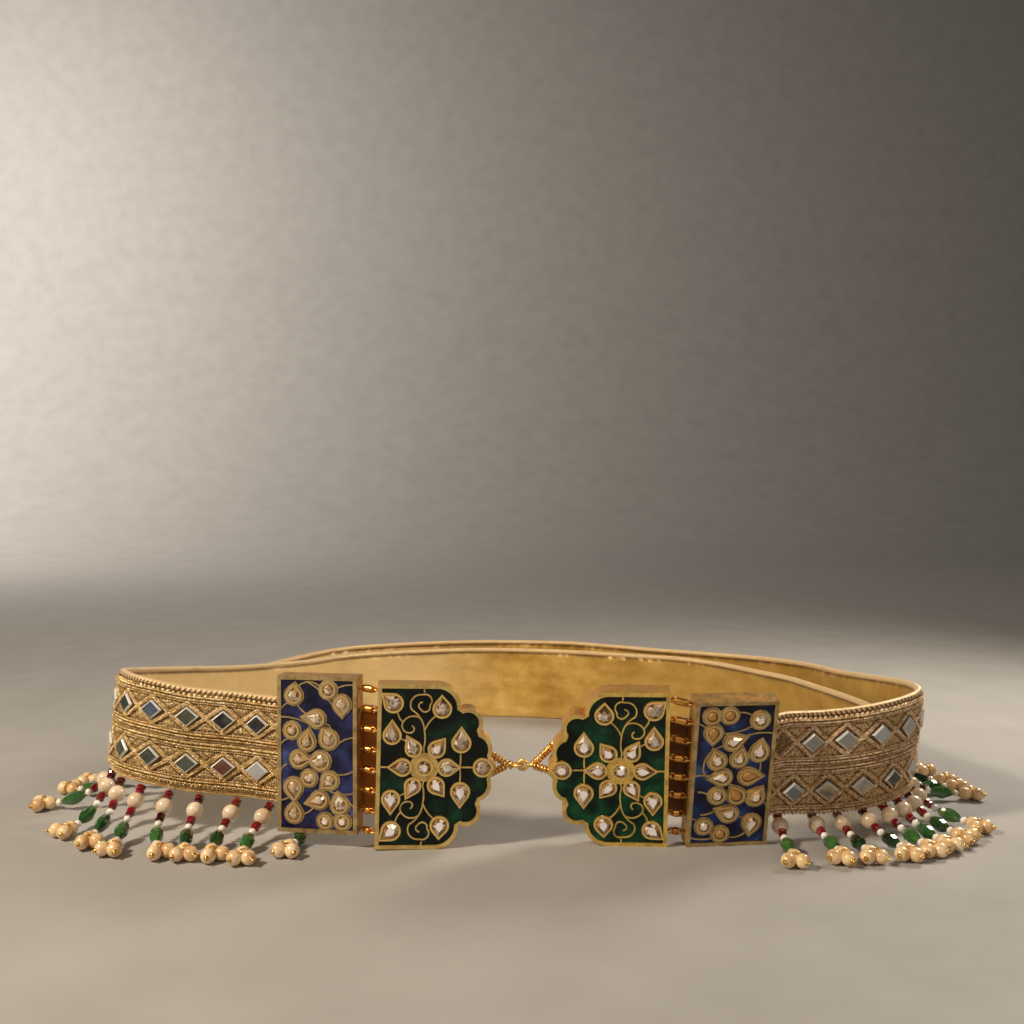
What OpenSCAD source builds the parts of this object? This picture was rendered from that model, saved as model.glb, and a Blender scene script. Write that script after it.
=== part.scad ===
// Folk enamel waist belt, fastened and standing on its edge.
// Two brocade bands overlap across the back. In front, four enamelled box plates are
// hinged in pairs by bead links and clasped in the middle, and a beaded fringe hangs
// from the bands' bottom edges and lies on the ground.

/* [Bands] */
// Height of a band
band_h = 41; // [39:0.5:41]
// Thickness of the padded cloth
band_t = 2; // [1.6:0.1:2]
// Thickness of the piping along the top edge
piping_t = 3; // [2.4:0.1:3]
// Height of the piping
piping_h = 2.6; // [2:0.1:3]

/* [Trim] */
// Height of one trim strip of the left band
left_trim_h = 17.2; // [16.6:0.2:17.2]
// Height of one trim strip of the right band
right_trim_h = 18.7; // [18.1:0.2:18.7]
// Thickness of a strip in its middle
trim_t = 0.6; // [0.4:0.1:0.7]
// Thickness of a strip at its braided borders
border_t = 1.2; // [1:0.1:1.4]
// Width of a braided border
border_w = 2.4; // [2:0.1:2.8]
// Distance from one mirror to the next
mirror_pitch = 14.5; // [13.5:0.5:14.5]
// Width of a mirror
mirror_w = 9.8; // [8:0.2:10]
// Height of a mirror
mirror_h = 7.8; // [7:0.2:9]
// Width of a mirror's bevel
mirror_bevel = 0.8; // [0.6:0.1:1.2]

/* [Plates] */
// Height of the scalloped green plates
green_h = 62; // [62:0.5:63]
// Height of the rectangular blue plates
blue_h = 59; // [59:0.5:60]
// Width of the rectangular blue plates
blue_w = 31; // [30.5:0.5:32]
// Depth of all four box plates
plate_t = 8; // [7.5:0.1:8]
// Width of the raised rim
rim_w = 1.5; // [1.2:0.1:1.8]
// Depth of the recess for the enamel
recess = 1; // [0.9:0.1:1.2]
// Thickness of the enamel
enamel_t = 0.5; // [0.4:0.05:0.55]
// Width of a cloison wire
cloison_w = 0.55; // [0.4:0.05:0.7]
// Width of the gold bezel round a stone
bezel_w = 0.85; // [0.6:0.05:0.9]
// Width of the gold ground outside a bezel on the blue plates
leaf_w = 0.9; // [0.5:0.1:1]
// How far a bezel stands above the rim
bezel_rise = 0.4; // [0.2:0.1:0.6]

/* [Hinges and clasp] */
// Number of bead links in a hinge
links = 8; // [6:1:8]
// Radius of a link's bead
bead_r = 1.45; // [1.2:0.05:1.6]
// Radius of an eye, to the middle of its wire
eye_r = 0.95; // [0.9:0.01:1]
// Radius of the wire of an eye
eye_wire = 0.32; // [0.28:0.01:0.34]
// Radius of the clasp's rings, to the middle of their wire
clasp_r = 1.7; // [1.6:0.05:1.8]
// Radius of the wire of the clasp's rings
clasp_wire = 0.65; // [0.55:0.05:0.7]

/* [Fringe] */
// Radius of the large pearls
pearl_r = 3.3; // [3.1:0.05:3.6]
// Radius of the faceted green drops
drop_r = 2.65; // [2.5:0.05:2.7]
// Length of the faceted green drops
drop_l = 9.4; // [8.5:0.1:10]
// Radius of the small pearls in the end clusters
small_pearl_r = 2.8; // [2.6:0.05:2.9]
// Radius of the thread
thread_r = 0.3; // [0.25:0.05:0.35]

/* [Hidden] */

GOLD = "goldenrod";
CLOTH = "burlywood";
BRAID = "peru";
STONE = "wheat";
IVORY = "ivory";

$fn = 36;
gap = 0.1;            // clearance between pieces that are set or sewn together
trim_back = 0.3;      // clearance between a trim strip and its band
mirror_back = 0.4;    // clearance between a mirror and its trim
path_steps = 6;       // curve points between two stations
sweep_step = 6;       // distance between the rings of a swept strip
outline_n = 18;       // corners of a bezel's outline
leaf_n = 12;          // corners of the gold ground's outline
facets = 8;           // facets round a cut stone
drop_sides = 8;       // facets round a green drop
thread_sides = 5;     // sides of a thread
thread_rings = 8;     // rings of a thread

// Route of the left band, from behind the left green plate, round the left bend and
// along the back inside the right band: [x, y, height of the bottom edge, outward lean].
LEFT_STATIONS = [
    [-19, -116.6, 11, 2], [-36, -118.1, 11, 2], [-51, -119.1, 11.3, 1.5],
    [-59, -117.1, 11.8, 0.5], [-73, -115.1, 12.6, 0], [-89, -112.4, 13.3, 0],
    [-107, -107.8, 14.5, -1], [-128, -106.3, 16.2, -3], [-143, -104, 18.6, -5],
    [-155, -96.5, 19.6, -6], [-164, -84, 19.6, -6.4], [-167.5, -69, 17.8, -4],
    [-163, -50, 15, -2], [-152.5, -25, 11.3, 0], [-141, 5, 6.8, 0],
    [-126, 40, 2.8, 0], [-112, 67, 0.5, 0], [-97.5, 88, 0, 0],
    [-67, 103, 0, 0], [-21, 114, 0, 0], [28, 106, 0, 0],
    [71, 88.5, 0, 0], [96, 76, 0, 0], [113, 57, 0, 0],
    [127, 33, 0, 0], [138, 13, 0, 0], [145.5, -13, 0, 0],
    [151, -34, 0, 0], [154.4, -55, 0, 0], [153, -73, 0, 0]
];

// Route of the right band, from behind the right green plate, round the right bend and
// along the back outside the left band, with the same columns.
RIGHT_STATIONS = [
    [16, -117.9, 11, 12.5], [36.7, -119.2, 10.5, 12.8], [53.7, -120.2, 10, 13],
    [63.3, -120.9, 9.6, 13.5], [77.2, -119.8, 9.2, 14], [93, -118, 9.2, 12],
    [102, -114.7, 9.5, 9.6], [116, -110.5, 8.7, 6.8], [128, -108.7, 9.2, 5.4],
    [139, -106.2, 10.3, 5], [152, -99, 11.8, 6], [161.5, -88, 12.6, 6.5],
    [165.5, -74, 12.4, 5], [165, -59, 11.4, 3], [161.5, -40, 9.8, 1],
    [156, -10, 7.2, 0], [149.5, 28, 4.9, 0], [134, 61, 2.8, 0],
    [110, 90, 1, 0], [78, 115, 0, 0], [53, 131, 0, 0],
    [28, 143.5, 0, 0], [-22, 148, 0, 0], [-71, 135.4, 0, 0],
    [-105.8, 114, 0, 0], [-127, 75, 0, 0], [-138, 45, 0, 0]
];

// Where each plate stands: [x, y, z of its lowest corner on the hinge side, yaw,
// forward lean, roll, whether its width runs towards -X].
LEFT_GREEN_AT = [-53.2, -128.4, 0.6, 5, 2, 1.5, false];
LEFT_BLUE_AT = [-59.8, -127.2, 5.5, -9, 0, 0, true];
RIGHT_GREEN_AT = [56.2, -124, 0, -3, 12.8, 0, true];
RIGHT_BLUE_AT = [63.3, -124.3, 0, 6, 14, 0, false];

// Lobes of a green plate's upper half, from the flat top to the tip:
// [centre x, height above the middle, radius, first angle, last angle, corners].
LOBES = [
    [22, 22, 9, 90, -2, 9],
    [33.6, 16.6, 5.7, 118, -37, 8],
    [36.3, 6.6, 6.7, 74, -25, 6],
    [40, 0, 4.5, 57, 0, 4]
];

// Stones of a green plate: [x from the hinge edge, height above the middle, radius of
// the stone, distance from its centre to its point or 0 if round, angle of the point].
GREEN_STONES = [
    [17.7, 0, 2.4, 0, 0],
    [9.7, 0, 2.5, 4.7, 180], [26, 0, 2.5, 4.5, 0],
    [13.6, 7, 2.3, 4.8, 118], [22.2, 6.8, 2.4, 4.4, 53],
    [13.6, -7, 2.3, 4.8, 242], [22.2, -6.8, 2.4, 4.4, 307],
    [39.4, 0, 2.7, 3.3, 0],
    [31.3, 9.2, 2.8, 5.3, 90], [31.3, -9.2, 2.8, 5.3, 270],
    [23.9, 22, 2.7, 4.3, 92], [23.9, -22, 2.7, 4.3, 268],
    [5.9, 24, 2.8, 4.9, 140], [5.9, -24, 2.8, 4.9, 220],
    [5.6, 12, 2.6, 5, 90], [5.6, -12, 2.6, 5, 270]
];

// Cloison wires of a green plate's upper half, mirrored in the lower:
// [x, height, x, height, bulge to the left of the way from the first end to the last].
GREEN_WIRES = [
    [17.6, 5.2, 17.3, 7.2, 0], [17.3, 7, 17.5, 13.6, -0.4], [17.5, 13.6, 12.6, 21.6, -1.2],
    [12.6, 21.6, 16.6, 27.2, 2.2], [16.6, 27.2, 19.3, 23.2, 2],
    [19.3, 23.2, 15.9, 21.8, 1.7], [15.9, 21.8, 16.6, 24.4, 1.1],
    [17.5, 13.6, 21.6, 19.4, 0.5], [16.1, 18.2, 9.2, 16.2, -1.9],
    [9.2, 16.2, 12.6, 13, -1.3], [12.6, 13, 12.8, 15.6, -1],
    [9.4, 17, 7.4, 21, 0.4], [8.2, 10.8, 11, 9.4, 0.3],
    [31, 6.6, 31, 0, 0.2], [1, 0, 4.6, 0, 0], [30.6, 0, 36.4, 0, 0],
    [17.3, 28, 17.2, 30, 0.1]
];

// Stones of the left blue plate, with the columns of GREEN_STONES.
LEFT_BLUE_STONES = [
    [24.4, 51.6, 2.2, 3.3, 95], [11, 54, 2.1, 0, 0], [5.7, 48.8, 2.2, 3.5, 270],
    [15.4, 43, 2.1, 4.9, 5], [25.2, 38.4, 2, 0, 0], [19.4, 34.2, 2.1, 4.1, 100],
    [10.8, 35.4, 2.4, 4, 60], [22.6, 27.6, 2.1, 4.2, 180], [13.9, 27.2, 2.5, 3.9, 0],
    [18.6, 20.6, 1.9, 0, 0], [10.4, 20, 2.1, 3.6, 320], [24.6, 17, 2.4, 4.2, 265],
    [14.4, 12.6, 2.1, 4.7, 345], [24.4, 7, 2.2, 3.7, 95], [6.6, 11, 2.3, 3.5, 80],
    [12.3, 4.7, 1.8, 0, 0], [5.6, 4.8, 2, 0, 0]
];

// Stones of the right blue plate, with the columns of GREEN_STONES.
RIGHT_BLUE_STONES = [
    [6.2, 53.4, 2, 0, 0], [12.8, 53.6, 2, 0, 0], [7.2, 46.8, 2.1, 3.4, 270],
    [24.4, 51.6, 2.2, 0, 0], [14.6, 43, 2.1, 4.7, 20], [25, 38.6, 2.4, 4, 80],
    [9.4, 35.4, 2.2, 3.8, 110], [17.6, 36, 2, 3.8, 80], [12, 28.7, 2.1, 4.4, 185],
    [21.4, 29, 2.2, 4.9, 0], [10.4, 21.2, 2.1, 0, 0], [17.8, 21, 2.2, 3.8, 120],
    [25, 20.2, 2.3, 3.8, 60], [15.4, 13.6, 2.3, 4.7, 160], [24.4, 9.6, 2.3, 4, 265],
    [6.2, 8.6, 2, 0, 0], [12.6, 5.2, 2, 0, 0]
];

// Cloison wires of the blue plates, with the columns of GREEN_WIRES.
LEFT_BLUE_WIRES = [
    [1, 56, 8.2, 54.4, 0.6], [13.8, 54.6, 20.6, 56.4, 1.2], [20.6, 56.4, 22.6, 54.6, 0.4],
    [23.4, 48.4, 10.6, 40.8, 1.4], [10.6, 40.8, 7.6, 37.8, 0.6], [18.8, 56.6, 9, 47.6, -1],
    [26.4, 48.8, 30, 45.4, 0.6], [17.8, 40.6, 29.6, 43.4, 0.8], [8, 33, 1, 36.4, -0.8],
    [25.8, 35.6, 29.8, 32.8, 0.5], [7.6, 22.4, 1, 24.2, 0.7], [27.2, 25.6, 30, 22.2, 0.6],
    [20.8, 18, 29.8, 11.8, -1], [10.6, 16, 1.2, 15.6, 0.8], [16.2, 10.4, 22.2, 6.6, -0.7],
    [9.4, 7.8, 8.2, 9.4, 0.2], [3.2, 13, 1, 10.2, 0.3]
];
RIGHT_BLUE_WIRES = [
    [1, 50.6, 4.4, 48.4, 0.4], [14.9, 54.4, 22, 52.8, 1], [9.4, 46.6, 22.7, 49.9, -1.2],
    [18.6, 45, 29.8, 46.2, 0.8], [11.8, 41.6, 4.4, 33, -2.2], [4.4, 33, 8.2, 27.6, -1.2],
    [20.6, 37.6, 22.2, 38.4, 0.2], [25.4, 35.9, 25.5, 29.6, 0.6], [1, 29.4, 8.2, 29, 0.5],
    [8.9, 19.5, 3, 22.8, -1], [20.1, 22.7, 22.7, 21.8, 0.4], [27.6, 18.6, 30, 15.2, 0.5],
    [12, 16.6, 4.6, 13.4, 1], [17.7, 12.7, 22.1, 10.8, 0.4], [14.8, 4.4, 22.2, 5.4, -1.3],
    [1, 12, 4.6, 10, 0.4], [9.2, 3.4, 1.2, 4, 0.6]
];

// Fringe strands, one row each: [distance along the band, turn towards the band's free
// end, sideways bow of the strand, turn of its cluster]. The first on the left hangs
// behind the blue plate and comes out under it, so it also has how far it goes back first
// and how early it comes down.
LEFT_STRANDS = [
    [72, -12, -7, 10, 9, 10], [77, -12, 4, -8], [91, -5, 3, 20], [106, -11, 3, -10],
    [118, -20, 4, 4], [129.5, -28, 3, -24], [142.5, -42, 0, 24], [155.5, -50, 0, -20],
    [167, 4, -3, 24], [179, 2, -2, -26], [192, -4, 0, 14], [206, 3, 2, 24],
    [219, -2, 2, -15]
];
RIGHT_STRANDS = [
    [86.5, -22, 0, -6], [100.5, -9, 0, -26], [110.5, -2, 0, -4], [121, -1, 0, -22],
    [131.5, -14, 0, -6], [141, -26, 0, 6], [151.5, -36, 0, 26], [163, -42, 0, -18],
    [176, 6, 2, 20], [188, 3, -2, -25], [200, -4, 2, 18], [212, 4, -2, 30],
    [225, 8, 2, -10]
];

left_trim_start = 72;     // distance along the band where each trim starts and ends
left_trim_end = 264;
right_trim_start = 80;
right_tail = 2;           // bare cloth at the right band's free end
left_trim_foot = 3;       // height of the lower trim on each band
right_trim_foot = 0.1;
trim_space = 0.8;         // between the two strips
left_mirror_start = 82;   // first mirrors along each band
right_upper_start = 98;
right_lower_start = 91;
left_mirrors = 12;        // mirrors in one row
right_mirrors = 20;

strand_reach = 34;        // how far a strand reaches out over the ground
strand_steps = 24;        // points that its route is worked out with
strand_fall = 3;          // how early it comes down
strand_rest = small_pearl_r + 0.12;   // height at which it comes to lie
pearl_at = 7.2;           // distances along a strand
drop_at = 22;
cluster_at = 32.6;
bore_r = thread_r + 0.8;

keeper_w = 6;             // staple on a plate's back that the band goes through
keeper_bar = 0.8;
keeper_depth = 4.2;
keeper_post = 1.1;
eyelet_out = 0.6;         // from a plate's side to the middle of its eyelets
eye_step = 2 * eye_r - 2 * eye_wire - 0.2;
clasp_step = 2 * clasp_r - 2 * clasp_wire - 0.25;

// Curves and placement

function blend(a, b, c, d, t) =
    0.5 * (2 * b + (c - a) * t + (2 * a - 5 * b + 4 * c - d) * t * t
        + (3 * b - a - 3 * c + d) * t * t * t);

function smooth_path(rows) = [
    for (i = [0:len(rows) - 2]) for (k = [0:path_steps - 1])
        blend(rows[max(i - 1, 0)], rows[i], rows[i + 1],
            rows[min(i + 2, len(rows) - 1)], k / path_steps),
    rows[len(rows) - 1]
];

function step_length(points, i) = norm(points[i + 1] - points[i]);

function run_lengths(points) = [
    for (i = 0, run = 0; i < len(points);
        run = run + (i < len(points) - 1 ? step_length(points, i) : 0), i = i + 1) run
];

function plan(rows) = [for (r = rows) [r[0], r[1]]];

function column(rows, runs, c) = [for (i = [0:len(rows) - 1]) [runs[i], rows[i][c]]];

// A route holds its columns against distance, its length and which side faces out.
function route(stations, side) =
    let (rows = smooth_path(stations), runs = run_lengths(plan(rows)))
    [for (c = [0:3]) column(rows, runs, c), runs[len(runs) - 1], side];

LEFT = route(LEFT_STATIONS, -1);
RIGHT = route(RIGHT_STATIONS, 1);

function spot(way, s) = [lookup(s, way[0]), lookup(s, way[1])];
function foot(way, s) = max(0, lookup(s, way[2]));
function lean(way, s) = lookup(s, way[3]);
function unit(v) = v / norm(v);
function along_dir(way, s) = unit(spot(way, s + 1) - spot(way, s - 1));
function out_dir(way, s) =
    let (t = along_dir(way, s)) way[5] * [t[1], -t[0]];

// A point of a band: s along it, u outwards from its middle, v up from its bottom edge.
function on_band(way, s, u, v) =
    let (
        p = spot(way, s), n = out_dir(way, s), a = lean(way, s),
        q = p + n * ((v - band_h / 2) * sin(a) + u * cos(a))
    )
    [q[0], q[1], foot(way, s) + v * cos(a) + max(0, -u * sin(a))];

function ring_faces(rings, n, flip) =
    let (
        sides = [for (i = [0:rings - 2]) for (k = [0:n - 1])
            let (a = i * n + k, b = i * n + (k + 1) % n)
            each [[a, a + n, b + n], [a, b + n, b]]],
        cap = [
            [0, 1, n - 1],
            for (k = [1:floor(n / 2) - 1]) each [
                if (k + 1 < n - k) [k, k + 1, n - k],
                if (k + 1 < n - k - 1) [k + 1, n - k - 1, n - k]
            ]
        ],
        end = (rings - 1) * n,
        all = concat(sides, cap, [for (f = cap) [end + f[2], end + f[1], end + f[0]]])
    )
    flip ? [for (f = all) [for (k = [len(f) - 1:-1:0]) f[k]]] : all;

// A strip that follows a band from s0 to s1, with a section given as [u, v] corners. Its
// rings stand at whole steps along the band, so that strips on one band bend alike.
module strip(way, s0, s1, section) {
    first = ceil((s0 + 1) / sweep_step);
    last = floor((s1 - 1) / sweep_step);
    stops = [s0, for (i = [first:last]) i * sweep_step, s1];
    points = [for (s = stops) for (c = section) on_band(way, s, c[0], c[1])];
    polyhedron(points, ring_faces(len(stops), len(section), way[5] > 0), convexity = 6);
}

function whole_step(s) = sweep_step * floor(s / sweep_step);

// Bands and trims

module band(way) {
    t = band_t / 2;
    p = piping_t / 2;
    neck = band_h - piping_h;
    color(CLOTH) strip(way, 0, way[4], [
        [-t, 0], [t, 0], [t, neck], [p, neck + 0.8], [p - 0.5, band_h],
        [0.5 - p, band_h], [-p, neck + 0.8], [-t, neck]
    ]);
}

module trim(way, s0, s1, bottom, height) {
    back = band_t / 2 + trim_back;
    top = bottom + height;
    color(BRAID) strip(way, s0, s1, [
        [back, bottom], [back + border_t, bottom], [back + trim_t, bottom + border_w],
        [back + trim_t, top - border_w], [back + border_t, top], [back, top]
    ]);
}

function upper_foot(bottom, height) = bottom + height + trim_space;

module mirror_tile(way, s, v) {
    back = band_t / 2 + trim_back + trim_t + mirror_back;
    n = out_dir(way, s);
    a = lean(way, s);
    turn = atan2(n[1], n[0]);
    shapes = [[0, 1], [0.6, 1], [1.1, 1 - 2 * mirror_bevel / mirror_w]];
    corners = [[1, 0], [0, 1], [-1, 0], [0, -1]];
    points = [for (h = shapes) for (c = corners)
        [back + h[0], c[0] * mirror_w / 2 * h[1], c[1] * mirror_h / 2 * h[1]]];
    translate(on_band(way, s, 0, v)) rotate([0, 0, turn]) rotate([0, a, 0])
        polyhedron(points, ring_faces(3, 4, false), convexity = 2);
}

module mirror_row(way, start, count, v) {
    color("gainsboro") for (i = [0:count - 1])
        mirror_tile(way, start + i * mirror_pitch, v);
}

// Plates

function arc_points(x, y, r, a0, a1, n) =
    [for (k = [0:n]) let (a = a0 + (a1 - a0) * k / n) [x + r * cos(a), y + r * sin(a)]];

// Upper half of a green plate's outline, drawn in by inset.
function green_half(inset) = [
    [inset, green_h / 2 - inset],
    for (l = LOBES) each arc_points(l[0], l[1], l[2] - inset, l[3], l[4], l[5])
];

function mirrored(points) =
    [for (k = [len(points) - 1:-1:0]) [points[k][0], -points[k][1]]];

// Each outline is in a plate's own frame: x from the hinge edge, y up from its middle.
module green_outline(inset = 0) {
    half = green_half(inset);
    polygon(concat(half, mirrored([for (i = [0:len(half) - 2]) half[i]])));
}

module blue_outline(inset = 0) {
    translate([inset, inset - blue_h / 2])
        square([blue_w - 2 * inset, blue_h - 2 * inset]);
}

// Outline of a stone, grown by grow: round, or drawn to a point on one side.
function stone_points(row, grow, n) =
    let (
        r = row[2] + grow, tip = row[3] > 0 ? row[3] + 1.15 * grow : 0,
        open = tip > 0 ? acos(r / tip) : 0,
        ring = tip > 0
            ? concat([[tip, 0]], arc_points(0, 0, r, open, 360 - open, n - 2))
            : [for (k = [0:n - 1]) [r * cos(360 * k / n), r * sin(360 * k / n)]],
        c = cos(row[4]), s = sin(row[4])
    )
    [for (p = ring) [row[0] + p[0] * c - p[1] * s, row[1] + p[0] * s + p[1] * c]];

module stone_outlines(stones, grow, n = outline_n) {
    for (row = stones) polygon(stone_points(row, grow, n));
}

module wire(row) {
    a = [row[0], row[1]];
    b = [row[2], row[3]];
    span = norm(b - a);
    h = row[4];
    turn = atan2(b[1] - a[1], b[0] - a[0]);
    r = (span * span / 4 + h * h) / (2 * max(abs(h), 0.001));
    half = asin(min(1, span / 2 / r));
    sweep = abs(h) > span / 2 ? 180 - half : half;
    side = h < 0 ? -1 : 1;
    n = 8;
    line = [for (k = [0:n])
        let (g = -sweep + 2 * sweep * k / n)
        [span / 2 + r * sin(g), side * (r * cos(g) - r * cos(sweep))]];
    w = cloison_w / 2;
    edge = function(k, o)
        let (g = -sweep + 2 * sweep * k / n)
        line[k] + o * w * [sin(g), side * cos(g)];
    translate(a) rotate(turn) polygon(concat(
        [for (k = [0:n]) edge(k, 1)], [for (k = [n:-1:0]) edge(k, -1)]));
}

// From a plate's face frame to its own frame: y up becomes z, and depth goes back.
module face(height, from) {
    translate([0, -from, height / 2]) rotate([90, 0, 0]) children();
}

module stand(at) {
    translate([at[0], at[1], at[2]]) rotate([0, 0, at[3]]) rotate([at[4], 0, 0])
        rotate([0, at[5], 0]) mirror([at[6] ? 1 : 0, 0, 0]) children();
}

module eyelets(heights) {
    for (h = heights) translate([-eyelet_out, plate_t / 2, h])
        rotate_extrude() translate([eye_r, 0]) circle(eye_wire);
}

module keeper(x, middle) {
    h = band_h + 2.6;
    translate([x, plate_t - 0.5, middle - h / 2 - keeper_post]) difference() {
        cube([keeper_w, 0.5 + keeper_depth + keeper_bar, h + 2 * keeper_post]);
        translate([-1, -1, keeper_post]) cube([keeper_w + 2, 1.5 + keeper_depth, h]);
    }
}

// The box with its rim, the bezels standing in it, and the wires held a hair above the
// enamel by the bezels and the rim.
module plate_metal(height, stones) {
    face(height, -plate_t) linear_extrude(plate_t - recess) children(0);
    face(height, -recess - 0.2) linear_extrude(recess + 0.2) difference() {
        children(0);
        children(1);
    }
    face(height, -recess - 0.2) linear_extrude(recess + 0.2 + bezel_rise) difference() {
        stone_outlines(stones, gap + bezel_w);
        stone_outlines(stones, gap);
    }
    wire_from = enamel_t - recess + gap;
    face(height, wire_from) linear_extrude(-wire_from - 0.05) difference() {
        intersection() {
            children(2);
            children(0);
        }
        stone_outlines(stones, gap + bezel_w / 2);
    }
}

module enamel(height, stones) {
    face(height, gap / 2 - recess) linear_extrude(enamel_t) difference() {
        children(0);
        stone_outlines(stones, 2 * gap + bezel_w);
        children(1);
    }
}

module cut_stones(height, stones) {
    seat = recess - gap;
    for (row = stones) {
        girdle = stone_points(row, 0, facets);
        table = [for (p = girdle) [row[0], row[1]] + 0.55 * (p - [row[0], row[1]])];
        points = [
            for (p = girdle) [p[0], seat, height / 2 + p[1]],
            for (p = girdle) [p[0], -bezel_rise + 0.2, height / 2 + p[1]],
            for (p = table) [p[0], -bezel_rise - 0.55, height / 2 + p[1]]
        ];
        polyhedron(points, ring_faces(3, facets, false), convexity = 2);
    }
}

module flower_base() {
    translate([GREEN_STONES[0][0], 0]) circle(5.4);
}

module green_wires() {
    for (row = GREEN_WIRES) {
        wire(row);
        if (row[1] != 0 || row[3] != 0) mirror([0, 1]) wire(row);
    }
    difference() {
        flower_base();
        stone_outlines([for (i = [0:6]) GREEN_STONES[i]], gap + bezel_w / 2);
    }
}

module blue_wires(rows, stones) {
    translate([0, -blue_h / 2]) {
        for (row = rows) wire(row);
        stone_outlines(stones, gap + bezel_w + leaf_w, leaf_n);
    }
}

function from_middle(rows, height) =
    [for (r = rows) [r[0], r[1] - height / 2, r[2], r[3], r[4]]];

function green_heights(first, pitch) = [for (i = [0:links - 1]) first + i * pitch];

LEFT_GREEN_EYES = green_heights(5.2, 7.7);
LEFT_BLUE_EYES = green_heights(1.4, 7.6);
RIGHT_GREEN_EYES = green_heights(4.8, 7.6);
RIGHT_BLUE_EYES = green_heights(4.4, 7.45);

module green_plate(at, eyes, keeper_middle) {
    stand(at) {
        plate_metal(green_h, GREEN_STONES) {
            green_outline();
            green_outline(rim_w);
            green_wires();
        }
        eyelets(eyes);
        keeper(12, keeper_middle);
    }
}

module green_enamel(at) {
    color("darkgreen") stand(at) enamel(green_h, GREEN_STONES) {
        green_outline(rim_w + gap);
        flower_base();
    }
}

module blue_plate(at, eyes, stones, wires, keeper_middle) {
    stand(at) {
        plate_metal(blue_h, from_middle(stones, blue_h)) {
            blue_outline();
            blue_outline(rim_w);
            blue_wires(wires, stones);
        }
        eyelets(eyes);
        keeper(12, keeper_middle);
    }
}

module blue_enamel(at, stones) {
    color("navy") stand(at) enamel(blue_h, from_middle(stones, blue_h)) {
        blue_outline(rim_w + gap);
        square(0.01);
    }
}

// Hinge links and clasp

function turned_z(p, a) = [p[0] * cos(a) - p[1] * sin(a), p[0] * sin(a) + p[1] * cos(a), p[2]];
function turned_x(p, a) = [p[0], p[1] * cos(a) - p[2] * sin(a), p[1] * sin(a) + p[2] * cos(a)];
function turned_y(p, a) = [p[0] * cos(a) + p[2] * sin(a), p[1], p[2] * cos(a) - p[0] * sin(a)];

// Where a point of a plate's own frame is on the belt.
function placed(at, p) =
    [at[0], at[1], at[2]]
    + turned_z(turned_x(turned_y([at[6] ? -p[0] : p[0], p[1], p[2]], at[5]), at[4]), at[3]);

// Lays its children, drawn along +x, on the way from a to b.
module between(a, b) {
    d = b - a;
    translate(a) rotate([0, -asin(d[2] / norm(d)), atan2(d[1], d[0])]) children();
}

module bead_link(a, b) {
    length = norm(b - a);
    first = eye_r + eye_wire + 0.18;
    last = length - first;
    rim = 0.45;
    between(a, b) {
        for (x = [eye_step, length - eye_step]) translate([x, 0, 0]) rotate([90, 0, 0])
            rotate_extrude() translate([eye_r, 0]) circle(eye_wire);
        rotate([0, 90, 0]) rotate_extrude() polygon([
            [0, first], [bead_r - rim, first], [bead_r, first + rim],
            [bead_r, last - rim], [bead_r - rim, last], [0, last]
        ]);
    }
}

module hinge(green_at, green_eyes, blue_at, blue_eyes) {
    color(GOLD) for (i = [0:links - 1]) bead_link(
        placed(green_at, [-eyelet_out, plate_t / 2, green_eyes[i]]),
        placed(blue_at, [-eyelet_out, plate_t / 2, blue_eyes[i]]));
}

tip_x = LOBES[3][0] + LOBES[3][2];
CLASP_LEFT = placed(LEFT_GREEN_AT, [tip_x, plate_t / 2, green_h / 2]);
CLASP_RIGHT = placed(RIGHT_GREEN_AT, [tip_x, plate_t / 2, green_h / 2]);
clasp_span = norm(CLASP_RIGHT - CLASP_LEFT);
hook_x = 8.6;
bail_r = 1.1;

module bar(a, b, r) {
    between(a, b) rotate([0, 90, 0]) cylinder(h = norm(b - a), r = r, $fn = 10);
}

module joint(at) {
    translate(at) rotate([0, 90, 0]) sphere(bail_r, $fn = 10);
}

module clasp_hook() {
    neck = [4.6, 0, 0];
    between(CLASP_LEFT, CLASP_RIGHT) {
        bar([-2, 0, 4.4], neck, 0.9);
        bar([-2, 0, -3.4], neck, 0.8);
        joint(neck);
        bar(neck, [hook_x - clasp_r, 0, 0], 0.85);
        translate([hook_x, 0, 0]) rotate([0, 0, -150])
            rotate_extrude(angle = 322) translate([clasp_r, 0]) circle(clasp_wire);
        joint([hook_x - clasp_r, 0, 0]);
    }
}

module clasp_eye() {
    ring_x = hook_x + clasp_step;
    neck = [14.2, 0, 0];
    between(CLASP_LEFT, CLASP_RIGHT) {
        translate([ring_x, 0, 0]) rotate([90, 0, 0])
            rotate_extrude() translate([clasp_r, 0]) circle(clasp_wire);
        bar([ring_x + clasp_r, 0, 0], neck, 0.75);
        joint(neck);
        bar(neck, [clasp_span + 2.2, 0.8, 8.2], 0.9);
        bar(neck, [clasp_span + 1.5, 0.4, -2.6], 0.8);
    }
}

module clasp_wrap() {
    wire_r = 0.33;
    color(GOLD) between(CLASP_LEFT, CLASP_RIGHT)
        for (x = [5.75, 6.2]) translate([x, 0, 0]) rotate([0, 90, 0])
            rotate_extrude() translate([0.85 + gap + wire_r + 0.1, 0]) circle(wire_r);
}

// Fringe

function strand_start(way, s) = on_band(way, s, 0, -0.5);

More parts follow.
